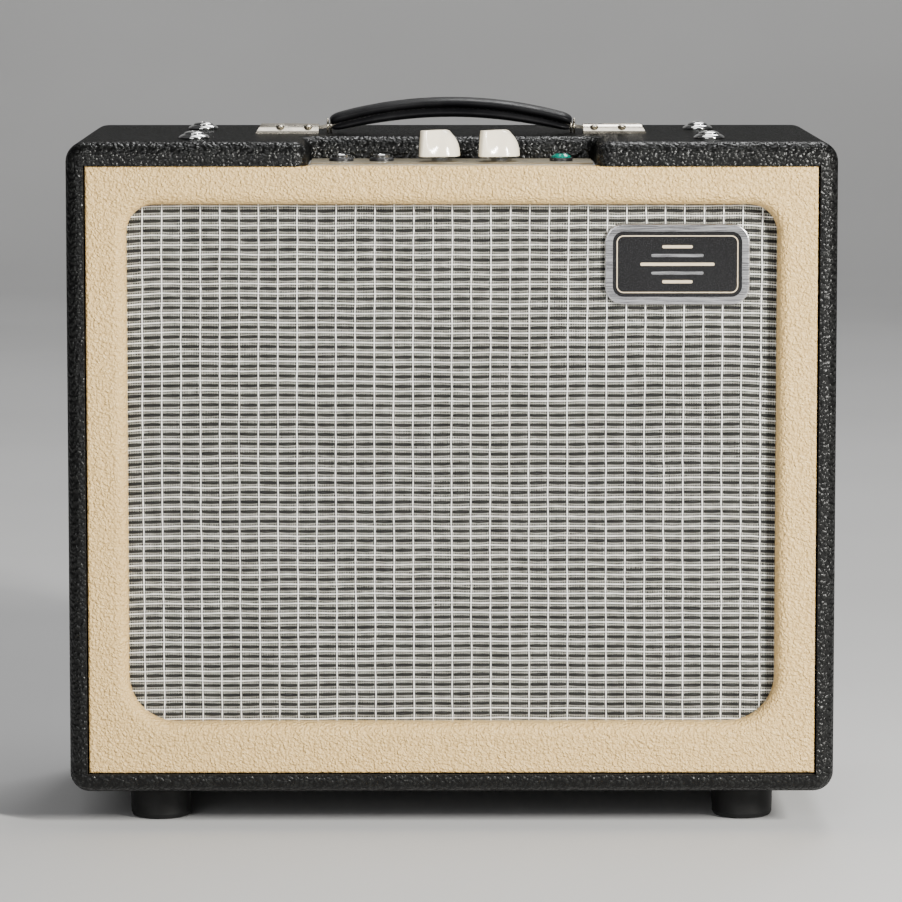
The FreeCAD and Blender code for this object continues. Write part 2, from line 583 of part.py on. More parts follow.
def inner_parts():
    """The base plate with the valves, the transformers and the circuit board."""
    inset = "(sheet_thick + base_gap)"
    base = box("base_blank", (f"-(chassis_half - {inset})", f"chassis_half - {inset}"),
               (f"{CHASSIS_FRONT} + {inset}", f"{CHASSIS_BACK} - {inset}"),
               (CHASSIS_LOW, BASE_TOP))
    tubes = (("power_tube_x", "power"), ("preamp_one_x", "preamp"), ("preamp_two_x", "preamp"))
    holes = [rod(f"base_hole_{x}", "+Z", "socket_radius", "10", (x, "tube_y", f"{CHASSIS_LOW} - 5"))
             for x, _ in tubes]
    lead_hole = rod("lead_hole", "+Z", "lead_radius + 0.3", "10",
                    (LEAD[-1][0], LEAD[-1][1], f"{CHASSIS_LOW} - 5"))
    node(cut("chassis_base", base, lead_hole, *holes), "chassis_base")
    socket = turned("socket", "+Z", ("0", "0", "0"), [
        ("3", "-socket_tall/2"), ("socket_radius", "-socket_tall/2"),
        ("socket_radius", "sheet_thick"), ("socket_flange", "sheet_thick"),
        ("socket_flange", "sheet_thick + 1.5"), ("socket_radius*0.8", "sheet_thick + 1.5"),
        ("socket_radius*0.8", "socket_tall/2"), ("3", "socket_tall/2"),
    ])
    node(copies("tube_sockets", socket, [("+Z", (x, "tube_y", CHASSIS_LOW)) for x, _ in tubes]),
         "tube_sockets")

    def tube(name, radius, length):
        glass = turned(name + "_glass", "-Z", ("0", "0", "0"), [
            ("0", "0"), (radius, "0"), (radius, f"{length} - {radius}*0.55"),
            (f"{radius}*0.78", f"{length} - {radius}*0.17"), (f"{radius}*0.2", length),
            ("0", f"{length} + 1.5"), ("0", length), (f"{radius}*0.18", f"{length} - glass_thick"),
            (f"{radius}*0.72", f"{length} - {radius}*0.2 - glass_thick"),
            (f"{radius} - glass_thick", f"{length} - {radius}*0.6"),
            (f"{radius} - glass_thick", "glass_thick*2"), ("0", "glass_thick*2"),
        ])
        anode = turned(name + "_anode", "-Z", ("0", "0", "0"), [
            ("0", "glass_thick*2"), ("1.2", "glass_thick*2"), ("1.2", f"{length}*0.2"),
            (f"{radius}*0.62", f"{length}*0.2"), (f"{radius}*0.62", f"{length}*0.72"),
            ("1.2", f"{length}*0.72"), ("1.2", f"{length}*0.8"), ("0", f"{length}*0.8"),
        ])
        return group(name + "_whole", glass, anode)

    under = f"({CHASSIS_LOW} - socket_tall/2 - tube_gap)"
    power = tube("power_valve", "power_radius", "power_long")
    preamp = tube("preamp_valve", "preamp_radius", "preamp_long")
    node(copies("power_tube", power, [("+Z", ("power_tube_x", "tube_y", under))]), "power_tube")
    node(copies("preamp_tubes", preamp, [
        ("+Z", (x, "tube_y", under)) for x in ("preamp_one_x", "preamp_two_x")]), "preamp_tubes")

    def transformer(name, iron):
        x, y, wide, deep, tall = (f"{iron}_{size}" for size in ("x", "y", "wide", "deep", "tall"))
        core = box(name + "_core", (f"{x} - {wide}/2", f"{x} + {wide}/2"),
                   (f"{y} - {deep}*0.3", f"{y} + {deep}*0.3"),
                   (f"{CHASSIS_LOW} - {tall}", CHASSIS_LOW))
        coil = box(name + "_coil", (f"{x} - {wide}*0.3", f"{x} + {wide}*0.3"),
                   (f"{y} - {deep}/2", f"{y} + {deep}/2"),
                   (f"{CHASSIS_LOW} - {tall}*0.84", f"{CHASSIS_LOW} - {tall}*0.16"))
        node(fuse(name, core, coil), name)

    transformer("power_transformer", "mains_iron")
    transformer("output_transformer", "output_iron")
    card_low = f"({BASE_TOP} + board_up)"
    card_top = f"({card_low} + board_thick)"
    card = box("card", ("-board_wide/2", "board_wide/2"),
               ("board_y - board_deep/2", "board_y + board_deep/2"), (card_low, card_top))
    corners = [(x, y) for x in ("-", "") for y in ("-", "+")]
    posts = [rod(f"post_{i}", "+Z", "post_radius", "board_up",
                 (f"{x}(board_wide/2 - post_inset)",
                  f"board_y {y} (board_deep/2 - post_inset)", BASE_TOP))
             for i, (x, y) in enumerate(corners)]
    cans, saddles = [], []
    for i in range(4):
        start = f"(-board_wide/2 + can_start + {i}*can_pitch)"
        cans.append(rod(f"capacitor_{i}", "+X", "can_radius", "can_long",
                        (start, "can_y", f"{card_top} + can_up")))
        margin = "(can_long - saddle_long)/2"
        saddles.append(box(f"saddle_{i}", (f"{start} + {margin}", f"{start} + can_long - {margin}"),
                           ("can_y - saddle_half", "can_y + saddle_half"),
                           (card_top, f"{card_top} + saddle_tall")))
    node(fuse("circuit_board", card, *posts, *cans, *saddles), "circuit_board")


def knob(name):
    """A pointer knob about its own origin, its beak along +X: a dome with a wedge."""
    dome = doc.addObject("Part::Ellipsoid", name + "_dome")
    bind(dome, {"Radius1": "knob_height", "Radius2": "knob_radius", "Radius3": "knob_radius"})
    dome.Angle1, dome.Angle2 = 0, 90
    plan = slab(name + "_plan", "XY_Plane", [
        ("0", "-knob_radius*0.97"), ("knob_radius*0.42", "-knob_radius*0.86"),
        ("knob_reach", "-beak_half"), ("knob_reach", "beak_half"),
        ("knob_radius*0.42", "knob_radius*0.86"), ("0", "knob_radius*0.97"),
    ], "0", "knob_height")
    rise = slab(name + "_rise", "YZ_Plane", [
        ("-knob_radius", "0"), ("knob_radius", "0"), ("knob_radius", "knob_height*0.2"),
        ("knob_radius*0.45", "knob_height*0.66"), ("ridge_half", "knob_height"),
        ("-ridge_half", "knob_height"), ("-knob_radius*0.45", "knob_height*0.66"),
        ("-knob_radius", "knob_height*0.2"),
    ], "0", "knob_reach + 1")
    side = slab(name + "_side", "XZ_Plane", [
        ("0", "0"), ("knob_reach", "0"), ("knob_reach - beak_lean", "knob_height"),
        ("0", "knob_height"),
    ], "-knob_radius - 1", "knob_radius + 1")
    rounded(side, "1.2", lambda e: lies_at("z", value("knob_height"))(e)
            and e.Vertexes[0].X > 1)
    beak = common(name + "_beak", common(name + "_wedge", plan, rise), side)
    solid = fuse(name + "_solid", dome, beak)
    bore = rod(name + "_bore", "+Z", "shaft_radius", "knob_bore", ("0", "0", "0"))
    return cut(name, solid, bore)


def jack():
    """A quarter-inch jack about the seat of its nut, its mouth along +Z."""
    deep = "(plate_thick + sheet_thick)"
    body = turned("jack_bush_body", "+Z", ("0", "0", "0"), [
        ("jack_bore", f"-{deep} - jack_case_tall + 2"), ("jack_bush", f"-{deep} - jack_case_tall + 2"),
        ("jack_bush", "jack_nut_tall"), ("jack_rim", "jack_nut_tall"),
        ("jack_rim", "jack_stand - 0.5"), ("jack_rim - 0.6", "jack_stand"),
        ("jack_bore + 0.5", "jack_stand"), ("jack_bore", "jack_stand - 0.6"),
    ])
    case = box("jack_case", ("-jack_case_wide/2", "jack_case_wide/2"),
               ("-jack_case_wide/2", "jack_case_wide/2"),
               (f"-{deep} - jack_case_tall", f"-{deep}"))
    well = rod("jack_well", "+Z", "jack_bore", "jack_case_tall",
               ("0", "0", f"-{deep} - jack_case_tall + 2"))
    return fuse("jack_whole", cut("jack_case_bored", case, well), body)


def controls():
    socket = jack()
    rear_face = f"({CHASSIS_BACK} + plate_thick)"
    places = [("+Z", (x, CONTROL_Y, PLATE_TOP)) for x in ("jack_one_x", "jack_two_x")]
    places += [("+Y", (x, rear_face, REAR_Z)) for x in ("output_one_x", "output_two_x")]
    node(copies("jack_sockets", socket, places), "jack_sockets")
    nut = turned("jack_nut_one", "+Z", ("0", "0", "0"), [
        ("jack_bush", "0"), ("jack_nut", "0"), ("jack_nut", "jack_nut_tall*0.6"),
        ("jack_nut - 1", "jack_nut_tall"), ("jack_bush", "jack_nut_tall"),
    ])
    washer = rod("rear_washer", "+Y", "jack_nut", "plate_thick", ("0", "0", "0"))
    washer_hole = rod("rear_washer_hole", "+Y", "jack_bush", "plate_thick", ("0", "0", "0"))
    ring = cut("rear_ring", washer, washer_hole)
    rings = [place(copy_at(f"rear_ring_{x}", ring, "+Z", ("0", "0", "0")),
                   (x, CHASSIS_BACK, REAR_Z)) for x in ("output_one_x", "output_two_x")]
    node(group("jack_nuts", copies("jack_nut_copies", nut, places), *rings), "jack_nuts")

    pots = turned("pot_body", "+Z", ("0", "0", "0"), [
        ("shaft_radius + shaft_slack", "-pot_tall + 2"), ("0", "-pot_tall + 2"),
        ("0", "-pot_tall"), ("pot_radius", "-pot_tall"), ("pot_radius", "0"),
        ("pot_bush", "0"), ("pot_bush", "sheet_thick + plate_thick + pot_stand"),
        ("shaft_radius + shaft_slack", "sheet_thick + plate_thick + pot_stand"),
    ])
    under = f"({CEILING} - sheet_thick)"
    rear_seat = f"({CHASSIS_BACK} - sheet_thick)"
    pot_places = [("+Z", (x, CONTROL_Y, under)) for x in ("volume_x", "tone_x")]
    pot_places.append(("+Y", ("attenuator_x", rear_seat, REAR_Z)))
    node(copies("potentiometers", pots, pot_places), "potentiometers")
    hexagon = doc.addObject("Part::Prism", "pot_hexagon")
    hexagon.Polygon = 6
    bind(hexagon, {"Circumradius": "pot_nut/cos(30)", "Height": "pot_nut_tall"})
    pot_nut = cut("pot_nut_one", hexagon,
                  rod("pot_nut_hole", "+Z", "pot_bush", "pot_nut_tall", ("0", "0", "0")))
    nut_places = [("+Z", (x, CONTROL_Y, PLATE_TOP)) for x in ("volume_x", "tone_x")]
    nut_places.append(("+Y", ("attenuator_x", CHASSIS_BACK, REAR_Z)))
    node(copies("pot_nuts", pot_nut, nut_places), "pot_nuts")

    shaft_low = "(pot_tall - 2.5)"
    for name, x in (("volume", "volume_x"), ("tone", "tone_x")):
        knob_low = f"({PLATE_TOP} + knob_stand)"
        node(rod(f"{name}_shaft", "+Z", "shaft_radius",
                 f"{knob_low} + knob_bore - ({under} - {shaft_low})",
                 (x, CONTROL_Y, f"{under} - {shaft_low}")), f"{name}_shaft")
        pointer = place(copy_at(f"{name}_pointer", knob(f"{name}_form"), "+Z", ("0", "0", "0")),
                        (x, CONTROL_Y, knob_low),
                        FreeCAD.Rotation(V(0, 0, 1), value("pointer_turn")))
        node(group(f"{name}_knob", pointer), f"{name}_knob")
    spindle = rod("attenuator_spindle", "+Y", "shaft_radius",
                  f"{shaft_low} + sheet_thick + plate_thick + knob_stand + knob_bore",
                  ("attenuator_x", f"{rear_seat} - {shaft_low}", REAR_Z))
    turn = FreeCAD.Rotation(V(0, 1, 0), 45) * AIM["+Y"]
    pointer = place(copy_at("attenuator_pointer", knob("attenuator_form"), "+Z", ("0", "0", "0")),
                    ("attenuator_x", f"{CHASSIS_BACK} + plate_thick + knob_stand", REAR_Z), turn)
    node(group("attenuator_knob", spindle, pointer), "attenuator_knob")

    holder = turned("lamp_holder", "+Z", ("lamp_x", CONTROL_Y, PLATE_TOP), [
        ("0", "-lamp_long"), ("lamp_barrel", "-lamp_long"), ("lamp_barrel", "0"),
        ("lamp_bezel", "0"), ("lamp_bezel", "lamp_bezel_tall - 0.4"),
        ("lamp_bezel - 0.4", "lamp_bezel_tall"), ("0", "lamp_bezel_tall"),
    ])
    node(holder, "pilot_lamp_holder")
    jewel = doc.addObject("Part::Prism", "jewel_girdle")
    jewel.Polygon = 12
    bind(jewel, {"Circumradius": "jewel_radius", "Height": "jewel_tall"})
    crown = turned("jewel_crown", "+Z", ("0", "0", "0"), [
        ("0", "0"), ("jewel_radius", "0"), ("jewel_radius", "jewel_tall*0.4"),
        ("jewel_top", "jewel_tall"), ("0", "jewel_tall"),
    ])
    place(jewel, ("lamp_x", CONTROL_Y, f"{PLATE_TOP} + lamp_bezel_tall"))
    place(crown, ("lamp_x", CONTROL_Y, f"{PLATE_TOP} + lamp_bezel_tall"))
    node(common("pilot_jewel", jewel, crown), "pilot_jewel")


def rear_parts():
    case = box("switch_case", ("switch_x - switch_wide/2", "switch_x + switch_wide/2"),
               (f"{CHASSIS_BACK} - sheet_thick - switch_deep", f"{CHASSIS_BACK} - sheet_thick"),
               (f"{REAR_Z} - switch_tall/2", f"{REAR_Z} + switch_tall/2"))
    low = f"({CHASSIS_BACK} - sheet_thick - 4)"
    bush = rod("switch_tube", "+Y", "switch_bush", "sheet_thick + switch_stand",
               ("switch_x", f"{CHASSIS_BACK} - sheet_thick", REAR_Z))
    bore = rod("switch_way", "+Y", "switch_bore", "sheet_thick + switch_stand + 5",
               ("switch_x", low, REAR_Z))
    node(cut("power_switch", fuse("switch_whole", case, bush), bore), "power_switch")
    lever = turned("lever", "+Z", ("0", "0", "0"), [
        ("0", "-lever_root"), ("lever_root", "0"), ("lever_root", "2"),
        ("lever_tip", "lever_long - 3"), ("lever_tip", "lever_long - 1"),
        ("lever_tip*0.6", "lever_long"), ("0", "lever_long"),
    ])
    turn = FreeCAD.Rotation(V(1, 0, 0), -90 - value("lever_tilt"))
    lever_copy = place(copy_at("lever_copy", lever, "+Z", ("0", "0", "0")),
                       ("switch_x", CHASSIS_BACK, REAR_Z), turn)
    node(group("power_lever", lever_copy), "power_lever")
    x = ("inlet_x - inlet_wide/2", "inlet_x + inlet_wide/2")
    z = (f"{REAR_Z} - inlet_tall/2", f"{REAR_Z} + inlet_tall/2")
    shell = box("inlet_shell", x, (f"{CHASSIS_BACK} - inlet_deep", f"{CHASSIS_BACK} + inlet_rim"), z)
    flange = box("inlet_rim", (f"{x[0]} - inlet_flange", f"{x[1]} + inlet_flange"),
                 (CHASSIS_BACK, f"{CHASSIS_BACK} + inlet_rim"),
                 (f"{z[0]} - inlet_lip", f"{z[1]} + inlet_lip"))
    mouth = box("inlet_mouth", (f"{x[0]} + inlet_wall", f"{x[1]} - inlet_wall"),
                (f"{CHASSIS_BACK} - inlet_deep + inlet_floor", f"{CHASSIS_BACK} + 2*inlet_rim"),
                (f"{z[0]} + inlet_wall", f"{z[1]} - inlet_wall"))
    pins = [box(f"inlet_pin_{i}", (f"inlet_x + {i}*prong_pitch - prong_half",
                                   f"inlet_x + {i}*prong_pitch + prong_half"),
                (f"{CHASSIS_BACK} - inlet_deep + inlet_floor", f"{CHASSIS_BACK} - inlet_floor"),
                (f"{REAR_Z} - prong_tall", f"{REAR_Z} + prong_tall")) for i in (-1, 0, 1)]
    hollow = cut("inlet_hollow", fuse("inlet_block", shell, flange), mouth)
    node(fuse("mains_inlet", hollow, *pins), "mains_inlet")
    holder = turned("fuse_body", "+Y", ("fuse_x", CHASSIS_BACK, REAR_Z), [
        ("0", "-fuse_long"), ("fuse_radius", "-fuse_long"), ("fuse_radius", "0"),
        ("fuse_cap", "0"), ("fuse_cap", "fuse_cap_long - 1"), ("fuse_cap - 1", "fuse_cap_long"),
        ("0", "fuse_cap_long"),
    ])
    node(holder, "fuse_holder")


def handle():
    """Grip, links and end caps; the left side is the right one turned half a turn."""
    half_turn = FreeCAD.Rotation(V(0, 0, 1), 180)
    block = slab("cap_block", "XZ_Plane", [
        ("cap_inner", "0"), ("cap_outer", "0"), ("cap_outer - cap_slope", "cap_tall"),
        ("cap_inner", "cap_tall"),
    ], "-cap_wide/2", "cap_wide/2")
    rounded(block, "cap_round", lambda e: lies_at("z", value("cap_tall"))(e)
            and not lies_at("x", value("cap_inner"))(e))
    arch_radius = "((cap_wide^2/4 + (cap_tall - cap_edge)^2)/(2*(cap_tall - cap_edge)))"
    arch = rod("cap_arch", "+X", arch_radius, "cap_outer - cap_inner + 2",
               ("cap_inner - 1", "0", f"cap_tall - {arch_radius}"))
    block = common("cap_form", block, arch)
    slot = box("cap_slot", ("cap_inner - 1", "slot_end"), ("-slot_half", "slot_half"),
               ("-1", "cap_tall + 1"))
    screw = turned("cap_screw", "+Z", ("0", "0", "0"), [
        ("0", "-cap_screw_long"), ("cap_screw_radius", "-cap_screw_long"),
        ("cap_screw_radius", "0"), ("cap_screw_head", "0"), ("cap_screw_head", "cap_screw_rim"),
        ("cap_screw_head*0.66", "cap_screw_crown*0.8"), ("0", "cap_screw_crown"),
    ])
    seat = f"(cap_tall - {arch_radius} + sqrt({arch_radius}^2 - cap_screw_y^2))"
    spots = [(x, f"{y}cap_screw_y") for x in ("cap_screw_one", "cap_screw_two") for y in ("-", "")]
    screws = copies("cap_screws", screw, [("+Z", (x, y, seat)) for x, y in spots])
    sink = group("cap_sinks", *[
        rod(f"cap_sink_{i}", "+Z", "cap_screw_head + cap_screw_room", "cap_tall", (x, y, seat))
        for i, (x, y) in enumerate(spots)])
    pin = rod("cap_pin", "+Y", "pin_radius", "2*slot_half", ("pin_x", "-slot_half", "pin_up"))
    cap = fuse("end_cap", cut("cap_slotted", block, slot, screws, sink), pin)
    tilt = "(grip_up - pin_up)/(pin_x - grip_half)"
    angle = math.degrees(math.atan(value(tilt)))
    bar = box("link_bar", ("-(pin_x - link_inner)", "0"), ("-link_half", "link_half"),
              ("-link_thick/2", "link_thick/2"))
    eye = rod("link_eye", "+Y", "eye_radius", "2*link_half", ("0", "-link_half", "0"))
    hole = rod("link_hole", "+Y", "pin_radius + eye_slack", "2*link_half + 2",
               ("0", "-link_half - 1", "0"))
    link = cut("link", fuse("link_whole", bar, eye), hole)
    link_set = place(copy_at("link_set", link, "+Z", ("0", "0", "0")), ("pin_x", "0", "pin_up"),
                     FreeCAD.Rotation(V(0, 1, 0), angle))
    right_link = group("link_right", link_set)
    all_screws = []
    for side, turn in (("right", FreeCAD.Rotation()), ("left", half_turn)):
        for what, source in (("end_cap", cap), ("link", right_link), ("screws", screws)):
            copied = place(copy_at(f"handle_{what}_{side}_copy", source, "+Z", ("0", "0", "0")),
                           ("0", "0", TOP), turn)
            if what == "screws":
                all_screws.append(copied)
            else:
                name = f"handle_{what}_{side}"
                node(group(name, copied), name)
    fixings = node(group("handle_screws", *all_screws), "handle_screws")

    arc = "((grip_half^2 + grip_rise^2)/(2*grip_rise))"
    sweep = f"asin(grip_half/{arc})"
    body = doc.addObject("PartDesign::Body", "grip_blank")
    low = f"({arc} - grip_lower)"
    sketch = outline(body, "YZ_Plane", [
        ("-grip_lower_wide/2", f"{low} + grip_ease"),
        ("-grip_lower_wide/2 + grip_corner", f"{low} - grip_hem"),
        ("grip_lower_wide/2 - grip_corner", f"{low} - grip_hem"),
        ("grip_lower_wide/2", f"{low} + grip_ease"),
        ("grip_lower_wide/2 - 1", arc), ("grip_wide/2 - 1", f"{arc} + grip_hem"),
        ("grip_wide/2", f"{arc} + grip_roll*0.32"),
        ("grip_wide/2 - grip_corner", f"{arc} + grip_roll*0.62"),
        ("grip_wide/4", f"{arc} + grip_roll*0.8"), ("-grip_wide/4", f"{arc} + grip_roll*0.8"),
        ("-grip_wide/2 + grip_corner", f"{arc} + grip_roll*0.62"),
        ("-grip_wide/2", f"{arc} + grip_roll*0.32"),
        ("-grip_wide/2 + 1", f"{arc} + grip_hem"), ("-grip_lower_wide/2 + 1", arc),
    ])
    bend = body.newObject("PartDesign::Revolution", "grip_bend")
    bend.Profile = (sketch, [""])
    bend.ReferenceAxis = (sketch, ["H_Axis"])
    bend.Midplane = True
    bind(bend, {"Angle": f"2*{sweep}"})
    body.Tip = bend
    place(body, ("0", "0", f"{TOP} + grip_up + grip_rise - {arc}"))
    mouths = []
    for side in (-1, 1):
        mouth = box(f"mouth_{side + 1}", ("0", "grip_half"), ("-mouth_half", "mouth_half"),
                    ("0", "mouth_tall"))
        lean = FreeCAD.Rotation(V(0, 1, 0), angle if side > 0 else 180 - angle)
        lift = value("mouth_tall") / 2 * math.cos(math.radians(angle))
        drift = value("mouth_tall") / 2 * math.sin(math.radians(angle))
        rise = f"(mouth_inner - grip_half)*-1*({tilt})"
        start = (f"{side}*(mouth_inner - {drift})", "-mouth_half" if side > 0 else "-mouth_half",
                 f"{TOP} + grip_up + {rise} {'-' if side > 0 else '+'} {lift}")
        mouths.append(place(mouth, start, lean))
    node(cut("handle_grip", body, *mouths), "handle_grip")
    return fixings


def about_speaker(name, points):
    return turned(name, "+Y", ("0", "0", SPEAKER_Z), points)


def speaker_screws():
    screw = turned("basket_screw", "+Z", ("0", "0", "0"), [
        ("0", "-basket_screw_long"), ("basket_screw_radius", "-basket_screw_long"),
        ("basket_screw_radius", "0"), ("basket_screw_head", "0"),
        ("basket_screw_head", "basket_screw_crown*0.33"),
        ("basket_screw_head*0.67", "basket_screw_crown*0.87"), ("0", "basket_screw_crown"),
    ])
    ring = []
    for i in range(8):
        a = math.radians(22.5 + 45 * i)
        reach = "(speaker_radius + gasket_inner)/2"
        ring.append(("+Y", (f"{reach}*{math.cos(a):.6f}", f"{FLANGE} + basket_thick",
                            f"{SPEAKER_Z} + {reach}*{math.sin(a):.6f}")))
    return node(copies("speaker_screws", screw, ring), "speaker_screws")


def speaker(screws):
    gasket = about_speaker("gasket_ring", rectangle(
        ("gasket_inner", "speaker_radius"), (BAFFLE_BACK, FLANGE)))
    wall = f"({FLANGE} + basket_wall_y)"
    ledge = f"({FLANGE} + ledge_y)"
    seat = f"({FLANGE} + seat_y)"
    basket = about_speaker("basket_blank", [
        ("speaker_radius", FLANGE), ("basket_step", FLANGE), ("basket_wall", wall),
        ("ledge_outer", ledge), ("ledge_inner", ledge), ("seat_outer", seat),
        ("seat_inner", seat), ("seat_inner", SEAT_BACK), ("seat_outer + 1.3", SEAT_BACK),
        ("ledge_inner + 1.3", f"{ledge} + basket_thick"),
        ("ledge_outer + 0.4", f"{ledge} + basket_thick"), ("basket_wall + 1.2", f"{wall} + 1.1"),
        ("basket_step + 1.4", f"{FLANGE} + basket_thick"),
        ("speaker_radius", f"{FLANGE} + basket_thick"),
    ])
    windows = []
    count = round(value("windows"))
    for i in range(count):
        window = box(f"basket_window_{i}", ("window_low", "window_high"),
                     ("-window_wide/2", "window_wide/2"), ("0", "80"))
        turn = FreeCAD.Rotation(V(0, 1, 0), 360 * (i + 0.5) / count) * AIM["+Y"]
        shift = turn.multVec(V(value("window_low"), -value("window_wide") / 2, 0))
        windows.append(place(window, (f"{shift.x}", f"{FLANGE} + 3 + {shift.y}",
                                      f"{SPEAKER_Z} + {shift.z}"), turn))
    pressed = cut("basket_open", basket, screws, *windows)
    seat_reach = "sqrt(window_low^2 + window_wide^2/4)"
    deep = f"({SEAT_BACK} - {FLANGE} + 2)"
    front_of_basket = ("0", f"{FLANGE} - 1", SPEAKER_Z)
    outside = rod("leg_zone", "+Y", "window_high", deep, front_of_basket)
    inside = rod("seat_zone", "+Y", seat_reach, deep, front_of_basket)
    node(cut("speaker_basket", pressed, outside), "speaker_basket")
    node(common("basket_legs", pressed, cut("leg_ring", outside, inside)), "basket_legs")
    node(common("basket_seat", pressed, inside), "basket_seat")
    node(cut("speaker_gasket", gasket, screws), "speaker_gasket")

    rim_front = f"({FLANGE} - rim_thick)"
    node(about_speaker("speaker_surround", [
        ("surround_inner", rim_front), ("surround_inner + 5", rim_front),
        ("surround_inner + 7", f"{rim_front} - 2"), ("surround_inner + 10", rim_front),
        ("surround_inner + 13", f"{rim_front} - 2"), ("surround_inner + 16", rim_front),
        ("surround_outer", rim_front), ("surround_outer", FLANGE),
        ("surround_inner + 15.8", FLANGE), ("surround_inner + 13", f"{FLANGE} - 1.9"),
        ("surround_inner + 10", f"{FLANGE} + 0.1"), ("surround_inner + 7", f"{FLANGE} - 1.9"),
        ("surround_inner + 5.2", FLANGE), ("surround_inner", FLANGE),
    ]), "speaker_surround")
    neck = f"({FLANGE} + cone_neck_y)"
    node(about_speaker("speaker_cone", [
        ("surround_inner + 4", FLANGE), ("surround_inner - 1", FLANGE),
        ("surround_inner*0.7", f"{FLANGE} + cone_neck_y*0.34"),
        ("coil_radius + 16", f"{FLANGE} + cone_neck_y*0.76"), ("coil_radius", neck),
        ("coil_radius", f"{neck} + paper_thick*1.4"),
        ("coil_radius + 16.4", f"{FLANGE} + cone_neck_y*0.76 + paper_thick*1.2"),
        ("surround_inner*0.7", f"{FLANGE} + cone_neck_y*0.34 + paper_thick*1.2"),
        ("surround_inner - 0.6", f"{FLANGE} + paper_thick"),
        ("surround_inner + 4", f"{FLANGE} + paper_thick"),
    ]), "speaker_cone")
    front_of_dome = f"({FLANGE} + cone_neck_y*0.76 - 2)"
    node(about_speaker("dust_cap", [
        ("0", f"{front_of_dome} - dome_height"),
        ("dome_radius*0.5", f"{front_of_dome} - dome_height*0.82"),
        ("dome_radius*0.82", f"{front_of_dome} - dome_height*0.46"),
        ("dome_radius", front_of_dome), ("dome_radius - 0.9", front_of_dome),
        ("dome_radius*0.8", f"{front_of_dome} - dome_height*0.4"),
        ("dome_radius*0.48", f"{front_of_dome} - dome_height*0.74"),
        ("0", f"{front_of_dome} - dome_height*0.92"),
    ]), "dust_cap")
    node(about_speaker("voice_coil", rectangle(
        ("coil_radius - coil_thick", "coil_radius"), (f"{neck} - 2", f"{PLATE_BACK} + 5"))),
        "voice_coil")
    fold = "(ledge_inner - coil_radius)/8"
    front_face = [(f"coil_radius + {i}*{fold}", f"{ledge} - spider_thick - {i % 2}*1.6")
                  for i in range(9)]
    back_face = [(f"coil_radius + {i}*{fold}", f"{ledge} - {i % 2}*1.6")
                 for i in range(8, -1, -1)]
    node(about_speaker("speaker_spider", front_face
                       + [("ledge_outer - 2", f"{ledge} - spider_thick"),
                          ("ledge_outer - 2", ledge)] + back_face), "speaker_spider")
    node(about_speaker("speaker_top_plate", rectangle(
        ("gap_radius", "top_plate_radius"), (SEAT_BACK, PLATE_BACK))), "speaker_top_plate")
    node(about_speaker("speaker_magnet", rectangle(
        ("magnet_bore", "magnet_radius"), (PLATE_BACK, MAGNET_BACK))), "speaker_magnet")
    node(about_speaker("speaker_back_plate", [
        ("0", SEAT_BACK), ("pole_radius", SEAT_BACK), ("pole_radius", MAGNET_BACK),
        ("top_plate_radius", MAGNET_BACK),
        ("top_plate_radius", f"{MAGNET_BACK} + back_plate_thick - 2"),
        ("top_plate_radius - 2", f"{MAGNET_BACK} + back_plate_thick"),
        ("0", f"{MAGNET_BACK} + back_plate_thick"),
    ]), "speaker_back_plate")
    strip_y = f"({ledge} + basket_thick)"
    strip_z = (f"{SPEAKER_Z} + strip_low", f"{SPEAKER_Z} + strip_high")
    strip = box("strip", ("strip_from", "strip_to"), (strip_y, f"{strip_y} + strip_thick"),
                strip_z)
    tabs = [box(f"tab_{i}", (f"tab_first + {i}*tab_pitch", f"tab_first + {i}*tab_pitch + tab_wide"),
                (f"{strip_y} + tab_inset", f"{strip_y} + strip_thick - tab_inset"),
                (strip_z[1], f"{strip_z[1]} + tab_tall")) for i in range(2)]
    node(fuse("speaker_terminals", strip, *tabs), "speaker_terminals")


# The lead from the loudspeaker's terminals up to the chassis base, corner by corner.
LEAD = [
    ("36", f"{FLANGE} + 59.7", f"{SPEAKER_Z} + strip_high + 0.5"),
    ("36.5", f"{FLANGE} + 60.9", f"{SPEAKER_Z} + strip_high + 14.5"),
    ("41", f"{FLANGE} + 68.9", f"{SPEAKER_Z} + strip_high + 29.5"),
    ("50", "-6", f"{CHASSIS_LOW} - 45"), ("58", "8", f"{CHASSIS_LOW} - 27"),
    ("60", "12", f"{CHASSIS_LOW} - 9"), ("60", "12", f"{CHASSIS_LOW} + 6"),
]


def lead():
    """Straight runs joined by arcs as large as each pair of runs allows."""
    points = [V(*map(value, p)) for p in LEAD]
    edges, start = [], points[0]
    for before, corner, after in zip(points, points[1:], points[2:]):
        first, second = (before - corner), (after - corner)
        turn = math.pi - first.getAngle(second)
        radius = 0.45 * min(first.Length, second.Length) / math.tan(turn / 2)
        reach = radius * math.tan(turn / 2)
        first.normalize()
        second.normalize()
        inward = first + second
        inward.normalize()
        middle = corner + inward * (radius / math.cos(turn / 2) - radius)
        enter, leave = corner + first * reach, corner + second * reach
        edges.append(Part.LineSegment(start, enter).toShape())
        edges.append(Part.Arc(enter, middle, leave).toShape())
        start = leave
    edges.append(Part.LineSegment(start, points[-1]).toShape())
    path = Part.Wire(edges)
    radius = value("lead_radius")
    ring = Part.Wire([Part.makeCircle(radius, points[0], points[1] - points[0])])
    tube = path.makePipeShell([ring], True, False)
    expected = math.pi * radius**2 * path.Length
    if abs(tube.Volume - expected) > 0.01 * expected:
        raise ValueError("the lead's tube has the wrong volume")
    made = doc.addObject("Part::Feature", "speaker_lead")
    made.Shape = tube
    node(made, "speaker_lead")


